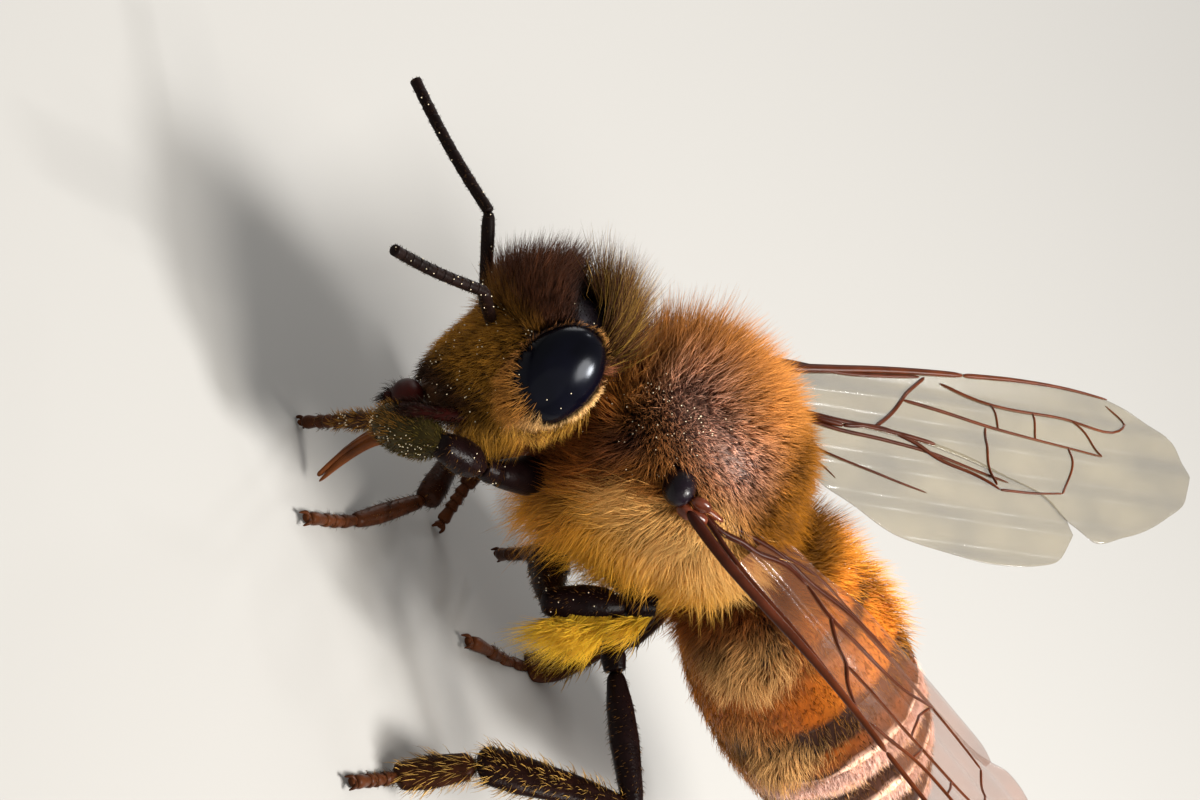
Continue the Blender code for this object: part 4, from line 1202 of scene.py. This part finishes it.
def leg_grids(name):
    """Grids of a leg's joints and their colours, from hip to claws."""
    pair = name.split("_")[0]
    hip, thigh, shin, foot, small = FORE_LEFT_RADII if name == "fore_left" else LEG_RADII[pair]
    j = np.array([on_floor(x, y, small) if z is None else (x, y, z) for x, y, z in LEGS[name]])
    flat, thin = (0.42, 0.55) if pair == "hind" else (1.0, 0.85)

    def bone(a, b, widths, before=0.0, after=0.0, deep=1.0):
        ahead = unit(b - a)
        return limb([a - ahead * before, b + ahead * after], widths, 46, 20, deep)

    second = j[1] + unit(j[2] - j[1]) * 0.42
    grids = [
        bone(j[0], j[1], [(0, hip * 0.7), (0.35, hip), (0.8, hip * 0.75), (1, 0.2)], 0, 0.05),
        bone(j[1], second, [(0, 0.16), (0.5, 0.22), (1, 0.18)], 0.1),
        bone(second, j[2], [(0, 0.15), (0.25, thigh * 0.9), (0.5, thigh), (0.85, thigh * 0.8),
                            (1, thigh * 0.62)], 0.02, 0.12, 0.9),
    ]
    if name == "fore_left":
        grids.append(bone(j[2], j[3], [(0, 0.13), (0.1, 0.2), (0.32, shin * 1.1),
                                       (0.62, shin * 1.22), (0.85, shin * 1.05), (1, shin * 0.7)],
                          0.02, 0.08))
    else:
        grids.append(bone(j[2], j[3], [(0, 0.13), (0.1, 0.17), (0.3, shin * 0.7), (0.75, shin),
                                       (0.93, shin * 0.95), (1, shin * 0.7)], 0.02, 0.1, flat))
    knots = j[3:]
    if len(knots) == 2:
        knots = np.array([knots[0], knots.mean(axis=0), knots[1]])

    def foot_joint(a, b, widths, deep=1.0, cols=16):
        return limb(smooth(knots, np.linspace(a, b, 7)), widths, 20, cols, deep)

    grids.append(foot_joint(0.03, 0.5, [(0, 0.1), (0.12, foot * 0.8), (0.6, foot), (1, foot * 0.8)],
                            thin, 20))
    for a, b in ((0.49, 0.62), (0.61, 0.73), (0.72, 0.83), (0.82, 1.0)):
        grids.append(foot_joint(a, b, [(0, small * 0.7), (0.75, small), (1, small * 0.85)]))
    tip, ahead = j[-1], unit(j[-1] - j[-2])
    down = unit(ahead * (FLOOR_UP @ ahead) - FLOOR_UP)
    across = np.cross(ahead, down)
    grids.append(limb([tip, tip + ahead * 0.12 + down * 0.02], [(0, 0.05), (0.7, 0.1), (1, 0.07)],
                      14, 12, 0.6))
    for sign in (-1, 1):
        hook = tip + np.array([0 * ahead, ahead * 0.1 + across * sign * 0.09 - down * 0.03,
                               ahead * 0.2 + across * sign * 0.12 + down * 0.05])
        grids.append(limb(hook, [(0, 0.05), (0.6, 0.035), (1, 0.012)], 16, 8))
    sunk = (np.clip(CLAW_GAP - to_floor(g)[..., 2:] / MM, 0, None) for g in grids)
    grids = [g + low * FLOOR_UP for g, low in zip(grids, sunk)]
    shade = mixed(LEG_BLACK, LEG_BROWN, LEG_FOXING + (0.3 if "right" in name else 0))
    if name == "fore_left":
        shade[3] = LEG_OLIVE
    return grids, shade


leg_shell = horn("leg_shell", gloss=0.24, depth=0.9, specular=0.05)
legs = {}
for name in LEGS:
    legs[name], shade = leg_grids(name)
    nodes = [f"{part}_{name}" for part in ("coxa", "femur", "tibia", "tarsus")]
    shells("leg_" + name, legs[name], leg_shell, nodes, shade)

# ---- Leg hair --------------------------------------------------------------------------------
# Short bristles all over the legs, a long yellow fringe under the left middle thigh, a short
# brush on the left fore shin, and long hairs round the pollen basket of each hind shin.

HANG = np.array([-0.54, 0.67, -0.52])


def under_share(p):
    """1 on the underside of the near middle thigh and hip."""
    thigh = legs["mid_left"][2].reshape(-1, 3).mean(axis=0)
    return above((p - thigh) @ HANG, 0.22, 0.06)


def brush_style(p, n, rng):
    """Short olive brush of the near fore shin, gold on the foot."""
    flow = np.tile((0.5, -0.6, -0.6), (len(p), 1))
    outer = above(p[:, 0], 4.55, 0.2)
    tint = mixed((0.07, 0.05, 0.012), (0.28, 0.13, 0.03), outer)
    return (flow, np.full(len(p), 0.5), rng.uniform(0.07, 0.13, len(p)) * (1 + 0.5 * outer),
            rng.uniform(0.01, 0.015, len(p)), tint)


bristle_style = one_way((0.3, 0.3, -1.0), 0.4, (0.05, 0.13), (0.008, 0.013),
                        (0.02, 0.008, 0.004), (0.2, 0.09, 0.02), 3)
fringe_style = one_way(HANG + (0.4, 0.25, 0.15), 0.2, (0.5, 1.4), (0.012, 0.018),
                       (0.88, 0.58, 0.06), (0.6, 0.32, 0.04))
basket_style = one_way((0.5, 0.5, -0.6), 0.4, (0.2, 0.4), (0.012, 0.018),
                       (0.2, 0.1, 0.035), (0.5, 0.3, 0.1))
leg_hair = hair_finish("leg_hair", 0.4)
leg_skins = [g for name in LEGS for g in legs[name][1:8]]
shins = [legs[name][k] for name in ("hind_left", "hind_right") for k in (3, 4)]
for part, skins, count, thickness, style, slot, seed, clump in (
        ("leg_bristles", leg_skins, 7000, everywhere, bristle_style, "black_shell", 41, 0),
        ("leg_fringe", legs["mid_left"][1:3], 2800, under_share, fringe_style, "golden_fur", 42,
         0.5),
        ("leg_brush", legs["fore_left"][3:6], 1500, everywhere, brush_style, "black_shell", 44,
         0.3),
        ("leg_baskets", shins, 1500, everywhere, basket_style, "black_shell", 43, 0.2)):
    grow(part, skins, count, thickness, style, leg_hair, slot, seed, clump, 0.2, scatter=0.13,
         stages=(0.0, 0.6))

# ---- Pollen ----------------------------------------------------------------------------------
# Round yellow grains, about a fortieth of a millimetre across, caught in the hair of the face,
# the eyes' rims, the feelers, the back and the left fore and middle legs, which clean them off.

POLLEN_SIZE = 0.022


def grains(name, spots, material):
    """An icosahedron at each spot, its corners the even turns of (0, 1, golden ratio)."""
    golden = (1 + 5**0.5) / 2
    corners = np.array([(-1, golden, 0), (1, golden, 0), (-1, -golden, 0), (1, -golden, 0),
                        (0, -1, golden), (0, 1, golden), (0, -1, -golden), (0, 1, -golden),
                        (golden, 0, -1), (golden, 0, 1), (-golden, 0, -1), (-golden, 0, 1)])
    faces = np.array([(0, 11, 5), (0, 5, 1), (0, 1, 7), (0, 7, 10), (0, 10, 11), (1, 5, 9),
                      (5, 11, 4), (11, 10, 2), (10, 7, 6), (7, 1, 8), (3, 9, 4), (3, 4, 2),
                      (3, 2, 6), (3, 6, 8), (3, 8, 9), (4, 9, 5), (2, 4, 11), (6, 2, 10),
                      (8, 6, 7), (9, 8, 1)])
    shape = corners / np.linalg.norm(corners[0]) * POLLEN_SIZE / 2
    points = (spots[:, None] + shape[None]).reshape(-1, 3)
    offset = 12 * np.arange(len(spots))[:, None, None]
    piece(name, points, [(faces[None] + offset).reshape(-1, 3)], material)


def dusted(grids, thickness, count, lift):
    """Spots a little above skins."""
    p, n, _ = roots(grids, thickness, count, draws)
    return p + n * draws.uniform(0.3, 1.0, (count, 1)) * lift


def face_dust(p):
    """Most round the eyes and on the face."""
    q = to_head(p)
    return np.where(q[:, 0] > -0.2, 1.0, 0.1) * np.where(q[:, 2] < 0.8, 1.0, 0.15) * eye_clear(q)


def eye_dust(p):
    """Thicker the further out to the sides of the head."""
    return np.clip(p[:, 1] ** 2 - 1.2, 0, 1)


def shoulder_dust(p):
    """On the left shoulder."""
    return hump(np.sum(((p - (1.2, 0.9, 1.1)) / 0.7) ** 2, axis=-1))


def shin_dust(p):
    """In stripes, as brushed together."""
    return np.sin(9 * p[:, 0] + 8 * p[:, 2]) > 0


pollen_skin = horn("pollen_skin", (0.9, 0.78, 0.55), gloss=0.35, mottle=0.3, depth=0.3, coat=0.2)
draws = np.random.default_rng(51)
spots = [dusted(skins, thickness, count, lift) for skins, thickness, count, lift in (
    ([head], face_dust, 170, 0.2), (both_eyes, eye_dust, 16, 0.012),
    (feelers, everywhere, 60, 0.015), ([trunk], shoulder_dust, 80, 0.4),
    (legs["fore_left"][3:5], shin_dust, 220, 0.04),
    (legs["fore_left"][1:3], everywhere, 16, 0.02),
    (legs["mid_left"][1:4], everywhere, 60, 0.03))]
grains("pollen", np.concatenate(spots), pollen_skin)

# ---- Floor, light and camera -----------------------------------------------------------------
# A plain pale floor. A large soft lamp and a smaller one for the glints hang over the bee's
# tail, a dim wide one stands at its left, and a rim lamp and one for each pair of wings at its
# right. A long lens looks at the bee from its left, ahead of it and above.

FLOOR_EDGE = 0.6
floor_paint = finish("floor_paint", (0.31, 0.305, 0.295), 0.6)
corners = FLOOR_EDGE * np.array([(-1, -1, 0), (1, -1, 0), (1, 1, 0), (-1, 1, 0)])
ground = bpy.data.meshes.new("ground")
ground.from_pydata(corners.tolist(), [], [(0, 1, 2, 3)])
ground.materials.append(floor_paint)
floor = bpy.data.objects.new("ground", ground)
bpy.context.scene.collection.objects.link(floor)

VIEW_OUT = np.array([0.3937, 0.7405, 0.5446])
VIEW_RIGHT = np.array([-0.745, -0.090, 0.661])
VIEW_UP = np.array([0.538, -0.666, 0.516])
CAMERA_TARGET = -1.383 * VIEW_RIGHT + 1.05 * VIEW_UP
CAMERA_DISTANCE, LAMP_DISTANCE = 200.0, 80.0


def aimed(obj, target, out, distance):
    """Stands an object off the target, in mm along out, looking back at it with VIEW_UP up."""
    origin = to_floor(np.zeros(3))
    out, up = (unit(to_floor(v) - origin) for v in (out, VIEW_UP))
    right = unit(np.cross(up, out))
    turn = np.eye(4)
    turn[:3, :3] = np.stack([right, np.cross(out, right), out], axis=1)
    turn[:3, 3] = to_floor(target) + out * distance * MM
    obj.matrix_world = mathutils.Matrix(turn.tolist())
    bpy.context.scene.collection.objects.link(obj)


lens = bpy.data.cameras.new("camera")
lens.lens, lens.sensor_width = 360.0, 36.0
lens.clip_start, lens.clip_end = 0.001, 10.0
camera = bpy.data.objects.new("camera", lens)
aimed(camera, CAMERA_TARGET, VIEW_OUT, CAMERA_DISTANCE)
bpy.context.scene.camera = camera

# Round soft lamps: direction as shares of out, right and up, size in mm, power and colour
for name, (out, right, up), size, power, colour in (
        ("key", (0.5, 0.83, -0.2), 36, 0.09, (1, 0.95, 0.88)),
        ("glint", (0.24, 0.94, -0.26), 17, 0.1, (1, 0.98, 0.95)),
        ("front", (0.86, 0.1, -0.45), 90, 0.009, (1, 0.96, 0.9)),
        ("far_wing", (-0.08, 0.66, 0.74), 8, 0.006, (1, 1, 1)),
        ("near_wing", (-0.67, 0.58, 0.47), 8, 0.006, (1, 1, 1)),
        ("rim", (-0.35, 0.2, 1.0), 40, 0.022, (1, 0.98, 0.94))):
    light = bpy.data.lights.new(name, "AREA")
    light.shape, light.size = "DISK", size * MM
    light.energy, light.color = power, colour
    aimed(bpy.data.objects.new(name, light), np.zeros(3),
          VIEW_OUT * out + VIEW_RIGHT * right + VIEW_UP * up, LAMP_DISTANCE)

world = bpy.data.worlds.new("studio")
world.use_nodes = True
sky = world.node_tree.nodes["Background"]
fill(sky, {"Color": (1.0, 0.98, 0.95, 1), "Strength": 0.5})
bpy.context.scene.world = world
bpy.context.scene.view_settings.view_transform = "Standard"
